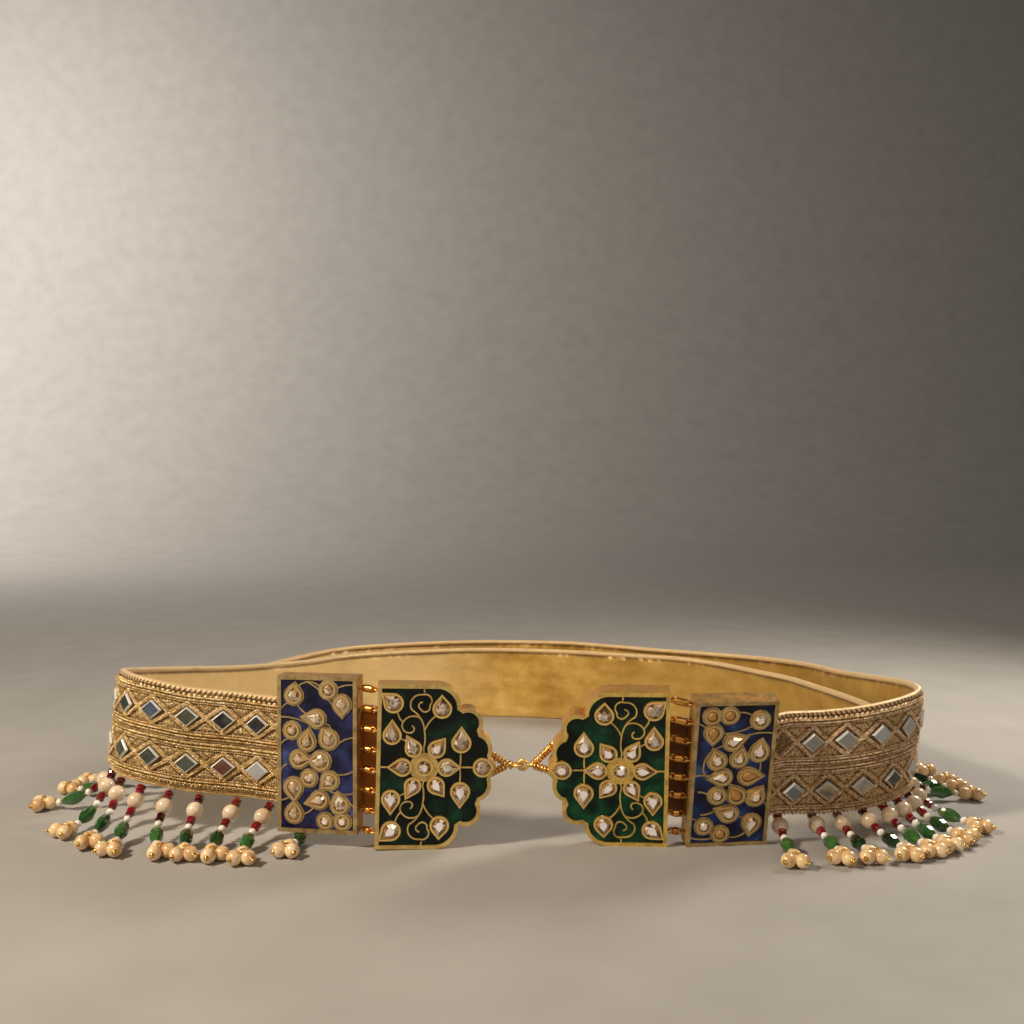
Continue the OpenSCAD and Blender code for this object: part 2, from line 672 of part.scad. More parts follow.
function strand_points(way, row) =
    let (
        s = row[0],
        p = strand_start(way, s), n = out_dir(way, s), t = along_dir(way, s),
        d = n * cos(row[1]) + t * sin(row[1]), e = t * cos(row[1]) - n * sin(row[1])
    )
    [for (k = [0:strand_steps])
        let (
            f = k / strand_steps,
            back = is_undef(row[4]) ? 0 : row[4] * 6.75 * f * pow(1 - f, 2),
            q = d * strand_reach * f + e * row[2] * 4 * f * (1 - f) - n * back,
            drop = pow(1 - f, is_undef(row[5]) ? strand_fall : row[5])
        )
        [p[0] + q[0], p[1] + q[1], strand_rest + (p[2] - strand_rest) * drop]];

// A strand holds its columns against distance along it.
function strand(way, row) =
    let (points = strand_points(way, row), runs = run_lengths(points))
    [for (c = [0:2]) column(points, runs, c)];

function strand_at(line, l) = [for (c = [0:2]) lookup(l, line[c])];

LEFT_LINES = [for (row = LEFT_STRANDS) strand(LEFT, row)];
RIGHT_LINES = [for (row = RIGHT_STRANDS) strand(RIGHT, row)];

// Lays its children, drawn along +x and centred, on a strand at distance l.
module strung(line, l, half = 1) {
    a = strand_at(line, l - half);
    b = strand_at(line, l + half);
    between((a + b) / 2, b) children();
}

module threads(lines) {
    color("linen") for (line = lines) {
        last = cluster_at;
        points = [for (i = [0:thread_rings - 1])
            let (
                l = last * i / (thread_rings - 1),
                p = strand_at(line, l),
                d = unit(strand_at(line, l + 0.5) - strand_at(line, l - 0.5)),
                e = unit(cross([0, 0, 1], d)), f = cross(d, e)
            )
            for (k = [0:thread_sides - 1])
                let (a = 360 * k / thread_sides)
                p + thread_r * (cos(a) * e + sin(a) * f)];
        polyhedron(points, ring_faces(thread_rings, thread_sides, true), convexity = 4);
    }
}

module pearls(lines) {
    color(IVORY) for (line = lines) strung(line, pearl_at, pearl_r) rotate([0, 90, 0])
        rotate_extrude() difference() {
            circle(pearl_r);
            translate([-2 * pearl_r, -2 * pearl_r])
                square([2 * pearl_r + bore_r, 4 * pearl_r]);
        }
}

module drops(lines) {
    half = drop_l / 2;
    flat = drop_r * 0.52;
    color("seagreen") for (line = lines) strung(line, drop_at, drop_l / 2)
        rotate([0, 90, 0]) rotate([0, 0, 180 / drop_sides]) rotate_extrude($fn = drop_sides) polygon([
            [bore_r, -half], [flat, -half], [drop_r, -half * 0.25],
            [drop_r, half * 0.25], [flat, half], [bore_r, half]
        ]);
}

// Three pearls fused; the thread ends in the first of them.
module clusters(lines, rows) {
    apart = small_pearl_r * 1.8;
    color("bisque") for (i = [0:len(lines) - 1]) strung(lines[i], cluster_at) {
        rotate([0, 90, 0]) difference() {
            rotate([0, 0, 50]) sphere(small_pearl_r);
            translate([0, 0, -2 * small_pearl_r])
                cylinder(h = 2 * small_pearl_r + 0.6, r = thread_r + 0.35);
        }
        for (a = [-30, 30]) rotate([0, 0, a + rows[i][3]]) translate([apart, 0, 0])
            rotate([40, 0, 20]) sphere(small_pearl_r);
    }
}

// Whole belt

band(LEFT);  // left_band
band(RIGHT);  // right_band
trim(LEFT, left_trim_start, left_trim_end, upper_foot(left_trim_foot, left_trim_h), left_trim_h);  // left_trim_upper
trim(LEFT, left_trim_start, left_trim_end, left_trim_foot, left_trim_h);  // left_trim_lower
trim(RIGHT, right_trim_start, whole_step(RIGHT[4] - right_tail),  // right_trim_upper
        upper_foot(right_trim_foot, right_trim_h), right_trim_h);
trim(RIGHT, right_trim_start, whole_step(RIGHT[4] - right_tail), right_trim_foot, right_trim_h);  // right_trim_lower
mirror_row(LEFT, left_mirror_start, left_mirrors,  // left_mirrors_upper
        upper_foot(left_trim_foot, left_trim_h) + left_trim_h / 2);
mirror_row(LEFT, left_mirror_start, left_mirrors, left_trim_foot + left_trim_h / 2);  // left_mirrors_lower
mirror_row(RIGHT, right_upper_start, right_mirrors,  // right_mirrors_upper
        upper_foot(right_trim_foot, right_trim_h) + right_trim_h / 2);
mirror_row(RIGHT, right_lower_start, right_mirrors, right_trim_foot + right_trim_h / 2);  // right_mirrors_lower
color(GOLD) {  // left_green_plate
    green_plate(LEFT_GREEN_AT, LEFT_GREEN_EYES, 31);
    clasp_hook();
}
green_enamel(LEFT_GREEN_AT);  // left_green_enamel
color(STONE) stand(LEFT_GREEN_AT) cut_stones(green_h, GREEN_STONES);  // left_green_stones
color(GOLD) {  // right_green_plate
    green_plate(RIGHT_GREEN_AT, RIGHT_GREEN_EYES, 28.8);
    clasp_eye();
}
green_enamel(RIGHT_GREEN_AT);  // right_green_enamel
color(STONE) stand(RIGHT_GREEN_AT) cut_stones(green_h, GREEN_STONES);  // right_green_stones
color(GOLD)  // left_blue_plate
    blue_plate(LEFT_BLUE_AT, LEFT_BLUE_EYES, LEFT_BLUE_STONES, LEFT_BLUE_WIRES, 27.4);
blue_enamel(LEFT_BLUE_AT, LEFT_BLUE_STONES);  // left_blue_enamel
color(STONE) stand(LEFT_BLUE_AT)  // left_blue_stones
    cut_stones(blue_h, from_middle(LEFT_BLUE_STONES, blue_h));
color(GOLD)  // right_blue_plate
    blue_plate(RIGHT_BLUE_AT, RIGHT_BLUE_EYES, RIGHT_BLUE_STONES, RIGHT_BLUE_WIRES, 27.6);
blue_enamel(RIGHT_BLUE_AT, RIGHT_BLUE_STONES);  // right_blue_enamel
color(STONE) stand(RIGHT_BLUE_AT)  // right_blue_stones
    cut_stones(blue_h, from_middle(RIGHT_BLUE_STONES, blue_h));
hinge(LEFT_GREEN_AT, LEFT_GREEN_EYES, LEFT_BLUE_AT, LEFT_BLUE_EYES);  // left_links
hinge(RIGHT_GREEN_AT, RIGHT_GREEN_EYES, RIGHT_BLUE_AT, RIGHT_BLUE_EYES);  // right_links
clasp_wrap();
threads(LEFT_LINES);  // left_threads
pearls(LEFT_LINES);  // left_pearls
drops(LEFT_LINES);  // left_drops
clusters(LEFT_LINES, LEFT_STRANDS);  // left_clusters
threads(RIGHT_LINES);  // right_threads
pearls(RIGHT_LINES);  // right_pearls
drops(RIGHT_LINES);  // right_drops
clusters(RIGHT_LINES, RIGHT_STRANDS);  // right_clusters
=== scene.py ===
"""Looks of the enamel waist belt: brocade bands, braid, mirrors, enamel, stones and fringe.

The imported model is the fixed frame. Lengths are worked out in millimetres in that frame, as
in the part's source, and become metres where a mesh is made.
"""
import logging
import math
from dataclasses import dataclass, field
from enum import Enum
from typing import Any, ClassVar, Mapping, Optional, Sequence, Union

import bmesh
import bpy
import numpy as np
from mathutils import Matrix, Vector


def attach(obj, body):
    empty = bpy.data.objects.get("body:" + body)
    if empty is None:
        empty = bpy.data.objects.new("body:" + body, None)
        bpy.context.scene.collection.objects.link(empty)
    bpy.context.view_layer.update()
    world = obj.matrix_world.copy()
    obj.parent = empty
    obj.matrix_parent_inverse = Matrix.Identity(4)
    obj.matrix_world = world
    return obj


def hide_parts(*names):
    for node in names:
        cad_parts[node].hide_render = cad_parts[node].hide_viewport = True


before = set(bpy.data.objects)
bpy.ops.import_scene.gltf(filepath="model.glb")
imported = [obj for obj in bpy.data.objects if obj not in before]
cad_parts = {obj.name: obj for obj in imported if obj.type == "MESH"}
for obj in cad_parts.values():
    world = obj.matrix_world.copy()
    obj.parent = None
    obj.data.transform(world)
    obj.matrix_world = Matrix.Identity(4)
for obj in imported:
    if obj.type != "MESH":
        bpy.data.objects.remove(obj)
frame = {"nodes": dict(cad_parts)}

log = logging.getLogger("waist_belt")

MM = 0.001
ROOT = "root"
CLOTH_UV = "cloth"
Colour = tuple[float, float, float]
Stop = tuple[float, Colour]

# Sizes that the part's source gives, in millimetres.
BAND_HEIGHT = 41.0
BAND_THICKNESS = 2.0
PIPING_THICKNESS = 3.0
PIPING_HEIGHT = 2.6
TRIM_BASE = 0.6
TRIM_BACK = BAND_THICKNESS / 2 + 0.3
TRIM_SPACE = 0.8
MIRROR_PITCH = 14.5
MIRROR_WIDTH = 9.8
MIRROR_HEIGHT = 7.8
MIRROR_BEVEL = 0.8
MIRROR_DEPTH = 1.1
MIRROR_BACK = TRIM_BACK + TRIM_BASE + 0.4
PLATE_DEPTH = 8.0
PLATE_HEIGHT = 62.0
PLATE_TIP = 44.5
PEARL_RADIUS = 3.3
DROP_RADIUS = 2.65
DROP_LENGTH = 9.4
SMALL_PEARL_RADIUS = 2.8
SEED_RADIUS = 1.45
SEED_HALF = 1.3
THREAD_RADIUS = 0.3
WIRE_RADIUS = 0.26
STRAND_REACH = 34.0
STRAND_FALL = 3.0
STRAND_REST = SMALL_PEARL_RADIUS + 0.12
STRAND_STEPS = 24
BACK_SHARE = 6.75
CLUSTER_AT = 32.6

LEFT_STATIONS = (
    (-19, -116.6, 11, 2), (-36, -118.1, 11, 2), (-51, -119.1, 11.3, 1.5),
    (-59, -117.1, 11.8, 0.5), (-73, -115.1, 12.6, 0), (-89, -112.4, 13.3, 0),
    (-107, -107.8, 14.5, -1), (-128, -106.3, 16.2, -3), (-143, -104, 18.6, -5),
    (-155, -96.5, 19.6, -6), (-164, -84, 19.6, -6.4), (-167.5, -69, 17.8, -4),
    (-163, -50, 15, -2), (-152.5, -25, 11.3, 0), (-141, 5, 6.8, 0),
    (-126, 40, 2.8, 0), (-112, 67, 0.5, 0), (-97.5, 88, 0, 0),
    (-67, 103, 0, 0), (-21, 114, 0, 0), (28, 106, 0, 0),
    (71, 88.5, 0, 0), (96, 76, 0, 0), (113, 57, 0, 0),
    (127, 33, 0, 0), (138, 13, 0, 0), (145.5, -13, 0, 0),
    (151, -34, 0, 0), (154.4, -55, 0, 0), (153, -73, 0, 0),
)
RIGHT_STATIONS = (
    (16, -117.9, 11, 12.5), (36.7, -119.2, 10.5, 12.8), (53.7, -120.2, 10, 13),
    (63.3, -120.9, 9.6, 13.5), (77.2, -119.8, 9.2, 14), (93, -118, 9.2, 12),
    (102, -114.7, 9.5, 9.6), (116, -110.5, 8.7, 6.8), (128, -108.7, 9.2, 5.4),
    (139, -106.2, 10.3, 5), (152, -99, 11.8, 6), (161.5, -88, 12.6, 6.5),
    (165.5, -74, 12.4, 5), (165, -59, 11.4, 3), (161.5, -40, 9.8, 1),
    (156, -10, 7.2, 0), (149.5, 28, 4.9, 0), (134, 61, 2.8, 0),
    (110, 90, 1, 0), (78, 115, 0, 0), (53, 131, 0, 0),
    (28, 143.5, 0, 0), (-22, 148, 0, 0), (-71, 135.4, 0, 0),
    (-105.8, 114, 0, 0), (-127, 75, 0, 0), (-138, 45, 0, 0),
)

# One row a strand: distance along the band, turn, sideways bow and turn of its cluster,
# then how far it goes back first and how early it comes down where it hangs behind a plate.
LEFT_STRANDS = (
    (72, -12, -7, 10, 9, 10), (77, -12, 4, -8), (91, -5, 3, 20), (106, -11, 3, -10),
    (118, -20, 4, 4), (129.5, -28, 3, -24), (142.5, -42, 0, 24), (155.5, -50, 0, -20),
    (167, 4, -3, 24), (179, 2, -2, -26), (192, -4, 0, 14), (206, 3, 2, 24),
    (219, -2, 2, -15),
)
RIGHT_STRANDS = (
    (86.5, -22, 0, -6), (100.5, -9, 0, -26), (110.5, -2, 0, -4), (121, -1, 0, -22),
    (131.5, -14, 0, -6), (141, -26, 0, 6), (151.5, -36, 0, 26), (163, -42, 0, -18),
    (176, 6, 2, 20), (188, 3, -2, -25), (200, -4, 2, 18), (212, 4, -2, 30),
    (225, 8, 2, -10),
)


def ripple(x: np.ndarray, y: np.ndarray, seed: int, waves: int = 7) -> np.ndarray:
    """Smooth unrepeating waves, the same on every run.

    Args:
        x: First coordinate, in wavelengths.
        y: Second coordinate, in wavelengths.
        seed: Picks one pattern.
        waves: Number of waves that are summed.

    Returns:
        Values of about -1 to 1, in the shape of x and y together.
    """
    random = np.random.RandomState(seed)
    total = np.zeros(np.broadcast(x, y).shape)
    for _ in range(waves):
        heading = random.uniform(0, 2 * math.pi)
        pace = random.uniform(0.6, 1.7)
        phase = random.uniform(0, 2 * math.pi)
        across = x * math.cos(heading) + y * math.sin(heading)
        total += np.sin(2 * math.pi * pace * across + phase)
    return total / math.sqrt(waves)


def dip(x: np.ndarray, at: float, width: float) -> np.ndarray:
    """A smooth bump of height 1, for seams and grooves."""
    return np.exp(-((x - at) / width) ** 2)


def spin(axis: str, degrees: float) -> np.ndarray:
    """A 3 by 3 rotation about one axis, turning the way that OpenSCAD turns."""
    return np.array(Matrix.Rotation(math.radians(degrees), 3, axis))


def runs_along(points: np.ndarray) -> np.ndarray:
    """Distance of each point from the first, along the line through them."""
    steps = np.linalg.norm(np.diff(points, axis=0), axis=1)
    return np.concatenate([[0], np.cumsum(steps)])


@dataclass(frozen=True)
class Route:
    """The way that one band takes, from its front end round to its free end."""

    stations: tuple[tuple[float, float, float, float], ...]
    side: int
    table: np.ndarray = field(init=False)
    runs: np.ndarray = field(init=False)

    def __post_init__(self) -> None:
        """Works out the smooth curve through the stations, as the part's source does."""
        rows = np.array(self.stations, float)
        last = len(rows) - 1
        points = []
        for i in range(last):
            a, b, c, d = rows[max(i - 1, 0)], rows[i], rows[i + 1], rows[min(i + 2, last)]
            for t in np.arange(6) / 6:
                points.append(0.5 * (2 * b + (c - a) * t + (2 * a - 5 * b + 4 * c - d) * t * t
                                     + (3 * b - a - 3 * c + d) * t ** 3))
        points.append(rows[last])
        table = np.array(points)
        object.__setattr__(self, "table", table)
        object.__setattr__(self, "runs", runs_along(table[:, :2]))

    @property
    def length(self) -> float:
        """Length of the band, in millimetres."""
        return float(self.runs[-1])

    def column(self, s: np.ndarray, c: int) -> np.ndarray:
        """One column of the route at distances s."""
        return np.interp(s, self.runs, self.table[:, c])

    def spot(self, s: np.ndarray) -> np.ndarray:
        """Points in plan at distances s."""
        return np.stack([self.column(s, 0), self.column(s, 1)], -1)

    def along(self, s: np.ndarray) -> np.ndarray:
        """Unit direction of the band in plan, rounded over a few millimetres."""
        step = self.spot(s + 1) - self.spot(s - 1)
        return step / np.linalg.norm(step, axis=-1, keepdims=True)

    def out(self, s: np.ndarray) -> np.ndarray:
        """Unit direction in plan that faces away from the belt's inside."""
        t = self.along(s)
        return self.side * np.stack([t[..., 1], -t[..., 0]], -1)

    def place(self, s: Any, u: Any, v: Any) -> np.ndarray:
        """Points of the band in the frame.

        Args:
            s: Distance along the band.
            u: Distance outwards from the cloth's middle.
            v: Height above the band's bottom edge.

        Returns:
            Points in millimetres, with the last axis for x, y and z.
        """
        s, u, v = np.broadcast_arrays(np.asarray(s, float), np.asarray(u, float),
                                      np.asarray(v, float))
        lean = np.radians(self.column(s, 3))
        flat = (v - BAND_HEIGHT / 2) * np.sin(lean) + u * np.cos(lean)
        plan = self.spot(s) + self.out(s) * flat[..., None]
        foot = np.maximum(0, self.column(s, 2))
        z = foot + v * np.cos(lean) + np.maximum(0, -u * np.sin(lean))
        return np.concatenate([plan, z[..., None]], -1)

    def outward(self, s: np.ndarray) -> np.ndarray:
        """Unit directions out of the cloth's face at distances s."""
        lean = np.radians(self.column(s, 3))[..., None]
        return np.concatenate([self.out(s) * np.cos(lean), -np.sin(lean)], -1)

    def upward(self, s: np.ndarray) -> np.ndarray:
        """Unit directions up the cloth's face at distances s."""
        lean = np.radians(self.column(s, 3))[..., None]
        return np.concatenate([self.out(s) * np.sin(lean), np.cos(lean)], -1)


LEFT = Route(LEFT_STATIONS, -1)
RIGHT = Route(RIGHT_STATIONS, 1)


@dataclass(frozen=True)
class TrimLayout:
    """Where the two trims of a band are, and where their mirrors start."""

    side: str
    route: Route
    start: float
    end: float
    foot: float
    height: float
    first: tuple[float, float]
    count: int

    @property
    def feet(self) -> tuple[float, float]:
        """Heights of the two strips' bottom edges, the lower strip's first."""
        return self.foot, self.foot + self.height + TRIM_SPACE

    @property
    def rise(self) -> float:
        """How far the lozenges reach above and below a strip's middle."""
        return self.height / 2 - 3.3

    def from_mirror(self, s: np.ndarray, level: int) -> np.ndarray:
        """Distance from the nearest mirror place of a strip, along it."""
        return np.abs((s - self.first[level] + MIRROR_PITCH / 2) % MIRROR_PITCH - MIRROR_PITCH / 2)


LEFT_TRIMS = TrimLayout("left", LEFT, 72.0, 264.0, 3.0, 17.2, (82.0, 82.0), 12)
RIGHT_TRIMS = TrimLayout("right", RIGHT, 80.0, 660.0, 0.1, 18.7, (91.0, 98.0), 20)


@dataclass(frozen=True)
class PlatePose:
    """How one enamelled plate stands: its place, its turns and which way its width runs."""

    at: tuple[float, float, float]
    yaw: float
    lean: float
    roll: float
    mirrored: bool

    def turn(self) -> np.ndarray:
        """The turn from the plate's own axes to the frame's."""
        return spin("Z", self.yaw) @ spin("X", self.lean) @ spin("Y", self.roll)

    def placed(self, point: Sequence[float]) -> np.ndarray:
        """Where a point of the plate is in the frame, in millimetres."""
        x, y, z = point
        return np.array(self.at) + self.turn() @ np.array([-x if self.mirrored else x, y, z])

    def facing(self) -> np.ndarray:
        """Unit direction that the plate's face looks in."""
        return self.turn() @ np.array([0.0, -1.0, 0.0])


LEFT_GREEN = PlatePose((-53.2, -128.4, 0.6), 5, 2, 1.5, False)
LEFT_BLUE = PlatePose((-59.8, -127.2, 5.5), -9, 0, 0, True)
RIGHT_GREEN = PlatePose((56.2, -124, 0), -3, 12.8, 0, True)
RIGHT_BLUE = PlatePose((63.3, -124.3, 0), 6, 14, 0, False)


# Shader graphs


class Signal:
    """A node's output that takes part in Python arithmetic."""

    def __init__(self, graph: "Graph", socket: bpy.types.NodeSocket) -> None:
        """Holds one output of a graph."""
        self.graph = graph
        self.socket = socket

    def __add__(self, other: "Feed") -> "Signal":
        """Sum."""
        return self.graph.calculate("ADD", self, other)

    def __sub__(self, other: "Feed") -> "Signal":
        """Difference."""
        return self.graph.calculate("SUBTRACT", self, other)

    def __rsub__(self, other: "Feed") -> "Signal":
        """Difference with a number on the left."""
        return self.graph.calculate("SUBTRACT", other, self)

    def __mul__(self, other: "Feed") -> "Signal":
        """Product."""
        return self.graph.calculate("MULTIPLY", self, other)

    __radd__ = __add__
    __rmul__ = __mul__


# What a socket takes: a number, a vector, a colour, a signal or another socket.
Feed = Any
Key = Union[str, int]
Settings = Optional[Mapping[str, Any]]
Feeds = Optional[Mapping[Key, Feed]]


class Graph:
    """Builds the nodes of one tree, for a material or for Geometry Nodes."""

    def __init__(self, tree: bpy.types.NodeTree) -> None:
        """Works on an existing tree."""
        self.tree = tree

    @staticmethod
    def pick(sockets: Any, key: Key) -> bpy.types.NodeSocket:
        """A socket by its number, or the first shown one with that name."""
        if isinstance(key, int):
            return sockets[key]
        for socket in sockets:
            if socket.enabled and key in (socket.name, socket.identifier):
                return socket
        raise KeyError(f"{key} is not a socket among {[s.name for s in sockets]}")

    def node(self, kind: str, settings: Settings = None, feeds: Feeds = None) -> bpy.types.Node:
        """Adds a node.

        Args:
            kind: The node's type.
            settings: Its own properties, set first. The stops of a ramp go by "stops".
            feeds: A value or a link for each socket that is named or numbered.

        Returns:
            The new node.
        """
        made = self.tree.nodes.new(kind)
        for name, value in (settings or {}).items():
            if name == "stops":
                self.set_stops(made.color_ramp, value)
            else:
                setattr(made, name, value)
        for key, value in (feeds or {}).items():
            self.feed(self.pick(made.inputs, key), value)
        return made

    def feed(self, socket: bpy.types.NodeSocket, value: Feed) -> None:
        """Links a signal to a socket, or sets the socket's own value."""
        if isinstance(value, Signal):
            self.tree.links.new(value.socket, socket)
        elif isinstance(value, bpy.types.NodeSocket):
            self.tree.links.new(value, socket)
        else:
            socket.default_value = value

    def out(self, node: bpy.types.Node, key: Key = 0) -> Signal:
        """One output of a node as a signal."""
        return Signal(self, self.pick(node.outputs, key))

    def first(self, kind: str, settings: Settings = None, feeds: Feeds = None) -> Signal:
        """Adds a node and gives its first output."""
        return self.out(self.node(kind, settings, feeds))

    @staticmethod
    def set_stops(ramp: bpy.types.ColorRamp, stops: Sequence[Stop]) -> None:
        """Gives a colour ramp its stops."""
        while len(ramp.elements) < len(stops):
            ramp.elements.new(0.5)
        for element, (position, colour) in zip(ramp.elements, stops):
            element.position = position
            element.color = (*colour, 1.0)

    def calculate(self, operation: str, *values: Feed) -> Signal:
        """A Math node on values or signals."""
        return self.first("ShaderNodeMath", {"operation": operation}, dict(enumerate(values)))

    def vector(self, operation: str, *values: Feed, out: str = "Vector") -> Signal:
        """A Vector Math node on vectors or signals."""
        feeds = dict(enumerate(values))
        return self.out(self.node("ShaderNodeVectorMath", {"operation": operation}, feeds), out)

    def position(self) -> Signal:
        """Object coordinates."""
        return self.out(self.node("ShaderNodeTexCoord"), "Object")

    def normal(self) -> Signal:
        """The surface's normal in the frame."""
        return self.out(self.node("ShaderNodeNewGeometry"), "Normal")

    def facet(self) -> Signal:
        """A random number for each loose face."""
        return self.out(self.node("ShaderNodeNewGeometry"), "Random Per Island")

    def cloth(self) -> Signal:
        """The cloth's own coordinates: metres along it and up it."""
        return self.first("ShaderNodeUVMap", {"uv_map": CLOTH_UV})

    def attribute(self, name: str, out: str = "Fac") -> Signal:
        """A value or colour that the mesh carries."""
        return self.out(self.node("ShaderNodeAttribute", {"attribute_name": name}), out)

    def noise(self, vector: Signal, scale: float, detail: float = 2.0,
              roughness: float = 0.5) -> Signal:
        """Cloudy noise of 0 to 1."""
        feeds = {"Vector": vector, "Scale": scale, "Detail": detail, "Roughness": roughness}
        return self.first("ShaderNodeTexNoise", None, feeds)

    def cells(self, vector: Signal, scale: float) -> Signal:
        """Distance to the nearest of many scattered points."""
        feeds = {"Vector": vector, "Scale": scale}
        return self.out(self.node("ShaderNodeTexVoronoi", None, feeds), "Distance")

    def waves(self, vector: Signal, scale: float, direction: str, distortion: float) -> Signal:
        """Parallel threads across a direction."""
        settings = {"wave_type": "BANDS", "bands_direction": direction}
        feeds = {"Vector": vector, "Scale": scale, "Distortion": distortion, "Detail": 1.0}
        return self.out(self.node("ShaderNodeTexWave", settings, feeds), "Fac")

    def colours(self, amount: Signal, stops: Sequence[Stop]) -> Signal:
        """Colours along a ramp."""
        return self.out(self.node("ShaderNodeValToRGB", {"stops": stops}, {"Fac": amount}),
                        "Color")

    def blend(self, amount: Feed, first: Feed, second: Feed) -> Signal:
        """Two colours mixed."""
        feeds = {"Factor": amount, "A": self.rgba(first), "B": self.rgba(second)}
        return self.out(self.node("ShaderNodeMix", {"data_type": "RGBA"}, feeds), "Result")

    def axis(self, vector: Signal, letter: str) -> Signal:
        """One coordinate of a vector: X, Y or Z."""
        return self.out(self.node("ShaderNodeSeparateXYZ", None, {0: vector}), letter)

    def dot(self, vector: Signal, direction: Sequence[float]) -> Signal:
        """How far a vector reaches along a direction."""
        return self.vector("DOT_PRODUCT", vector, tuple(direction), out="Value")

    @staticmethod
    def rgba(colour: Feed) -> Feed:
        """A plain colour with its alpha, or a signal as it is."""
        return colour if isinstance(colour, Signal) else (*colour, 1.0)

    def ease(self, value: Signal, low: float, high: float, first: float = 0.0,
             last: float = 1.0) -> Signal:
        """A smooth step between two values."""
        feeds = {"Value": value, "From Min": low, "From Max": high,
                 "To Min": first, "To Max": last}
        return self.out(self.node("ShaderNodeMapRange", {"interpolation_type": "SMOOTHSTEP"},
                                  feeds), "Result")

    def stretch(self, vector: Signal, amounts: Sequence[float]) -> Signal:
        """A vector scaled on each axis."""
        return self.vector("MULTIPLY", vector, tuple(amounts))

    def bump(self, height: Signal, distance: float, strength: float = 1.0) -> Signal:
        """A normal from a height, with the height's depth in metres."""
        feeds = {"Height": height, "Distance": distance, "Strength": strength}
        return self.out(self.node("ShaderNodeBump", None, feeds), "Normal")


@dataclass(frozen=True)
class Finish:
    """A surface finish, made once into a material."""

    name: str
    constants: ClassVar[Mapping[str, Any]] = {}

    def varied(self, graph: Graph) -> dict[str, Feed]:
        """What changes over the surface, by the shader's socket."""
        raise NotImplementedError

    def material(self) -> bpy.types.Material:
        """The material, made on its first use.

        Returns:
            The material with its nodes.
        """
        known = bpy.data.materials.get(self.name)
        if known is not None:
            return known
        made = bpy.data.materials.new(self.name)
        made.use_nodes = True
        graph = Graph(made.node_tree)
        shader = next(n for n in made.node_tree.nodes if n.type == "BSDF_PRINCIPLED")
        for socket, value in {**self.constants, **self.varied(graph)}.items():
            graph.feed(graph.pick(shader.inputs, socket), value)
        return made


@dataclass(frozen=True)
class Gilding(Finish):
    """Gilt metal: mottled between pale and deeper, browner gold."""

    pale: Colour = (0.86, 0.60, 0.25)
    deep: Colour = (0.55, 0.30, 0.09)
    polish: float = 0.24
    grain: float = 500.0

    constants: ClassVar[Mapping[str, Any]] = {"Metallic": 1.0}

    def tone(self, graph: Graph, spot: Signal) -> Signal:
        """The metal's colour."""
        mottle = graph.noise(spot, 230.0, 3.0, 0.6)
        return graph.colours(mottle, ((0.34, self.deep), (0.62, self.pale)))

    def beaten(self, graph: Graph, spot: Signal) -> Signal:
        """The normal of the beaten surface."""
        return graph.bump(graph.noise(spot, self.grain, 3.0), 0.00025, 0.5)

    def varied(self, graph: Graph) -> dict[str, Feed]:
        """Colour, roughness and a beaten surface."""
        spot = graph.position()
        return {
            "Base Color": self.tone(graph, spot),
            "Roughness": self.polish + 0.22 * graph.noise(spot, 320.0, 2.0),
            "Normal": self.beaten(graph, spot),
        }


@dataclass(frozen=True)
class PlateGilding(Gilding):
    """A plate's metal, with painted shade and a painted highlight: its walls and back are coloured a deeper,
    more orange gold than its face by the way they face, and the bezels that stand in front of the face are
    painted brightest."""

    pose: PlatePose = LEFT_GREEN
    # Painted shade of the walls and painted highlight of the bezels.
    wall_shade: Colour = (0.80, 0.38, 0.08)
    bezel_highlight: Colour = (0.95, 0.66, 0.22)
    knurl: float = 0.0

    constants: ClassVar[Mapping[str, Any]] = {"Metallic": 0.72}

    def beaten(self, graph: Graph, spot: Signal) -> Signal:
        """The normal of the beaten surface, knurled on the walls of some plates."""
        walls = graph.ease(graph.dot(graph.normal(), self.pose.facing()), 0.3, 0.7,
                           self.knurl, 0.0)
        ribs = graph.waves(spot, 260.0, "DIAGONAL", 1.5) * walls
        return graph.bump(graph.noise(spot, self.grain, 3.0) + ribs, 0.0003, 0.6)

    def tone(self, graph: Graph, spot: Signal) -> Signal:
        """The metal's colour, by which way and how far forward it faces: painted shade on the walls, a painted
        highlight on the bezels.
        """
        facing = self.pose.facing()
        mottle = graph.noise(spot, 260.0, 3.0, 0.6)
        face = graph.colours(mottle, ((0.32, self.deep), (0.6, self.pale)))
        front = graph.dot(graph.normal(), facing)
        depth = graph.dot(spot, facing) - float(facing @ np.array(self.pose.at)) * MM
        # Painted highlight: what stands forward of the face, the bezels, gets the brightest gold.
        raised = graph.ease(depth, 0.00008, 0.00025)
        face = graph.blend(raised, face, self.bezel_highlight)
        # Painted shade and reflection: surfaces that turn away from the front get the deeper wall colour.
        wall_shade = graph.colours(mottle, ((0.35, self.deep), (0.65, self.wall_shade)))
        return graph.blend(graph.ease(front, 0.35, 0.75), wall_shade, face)


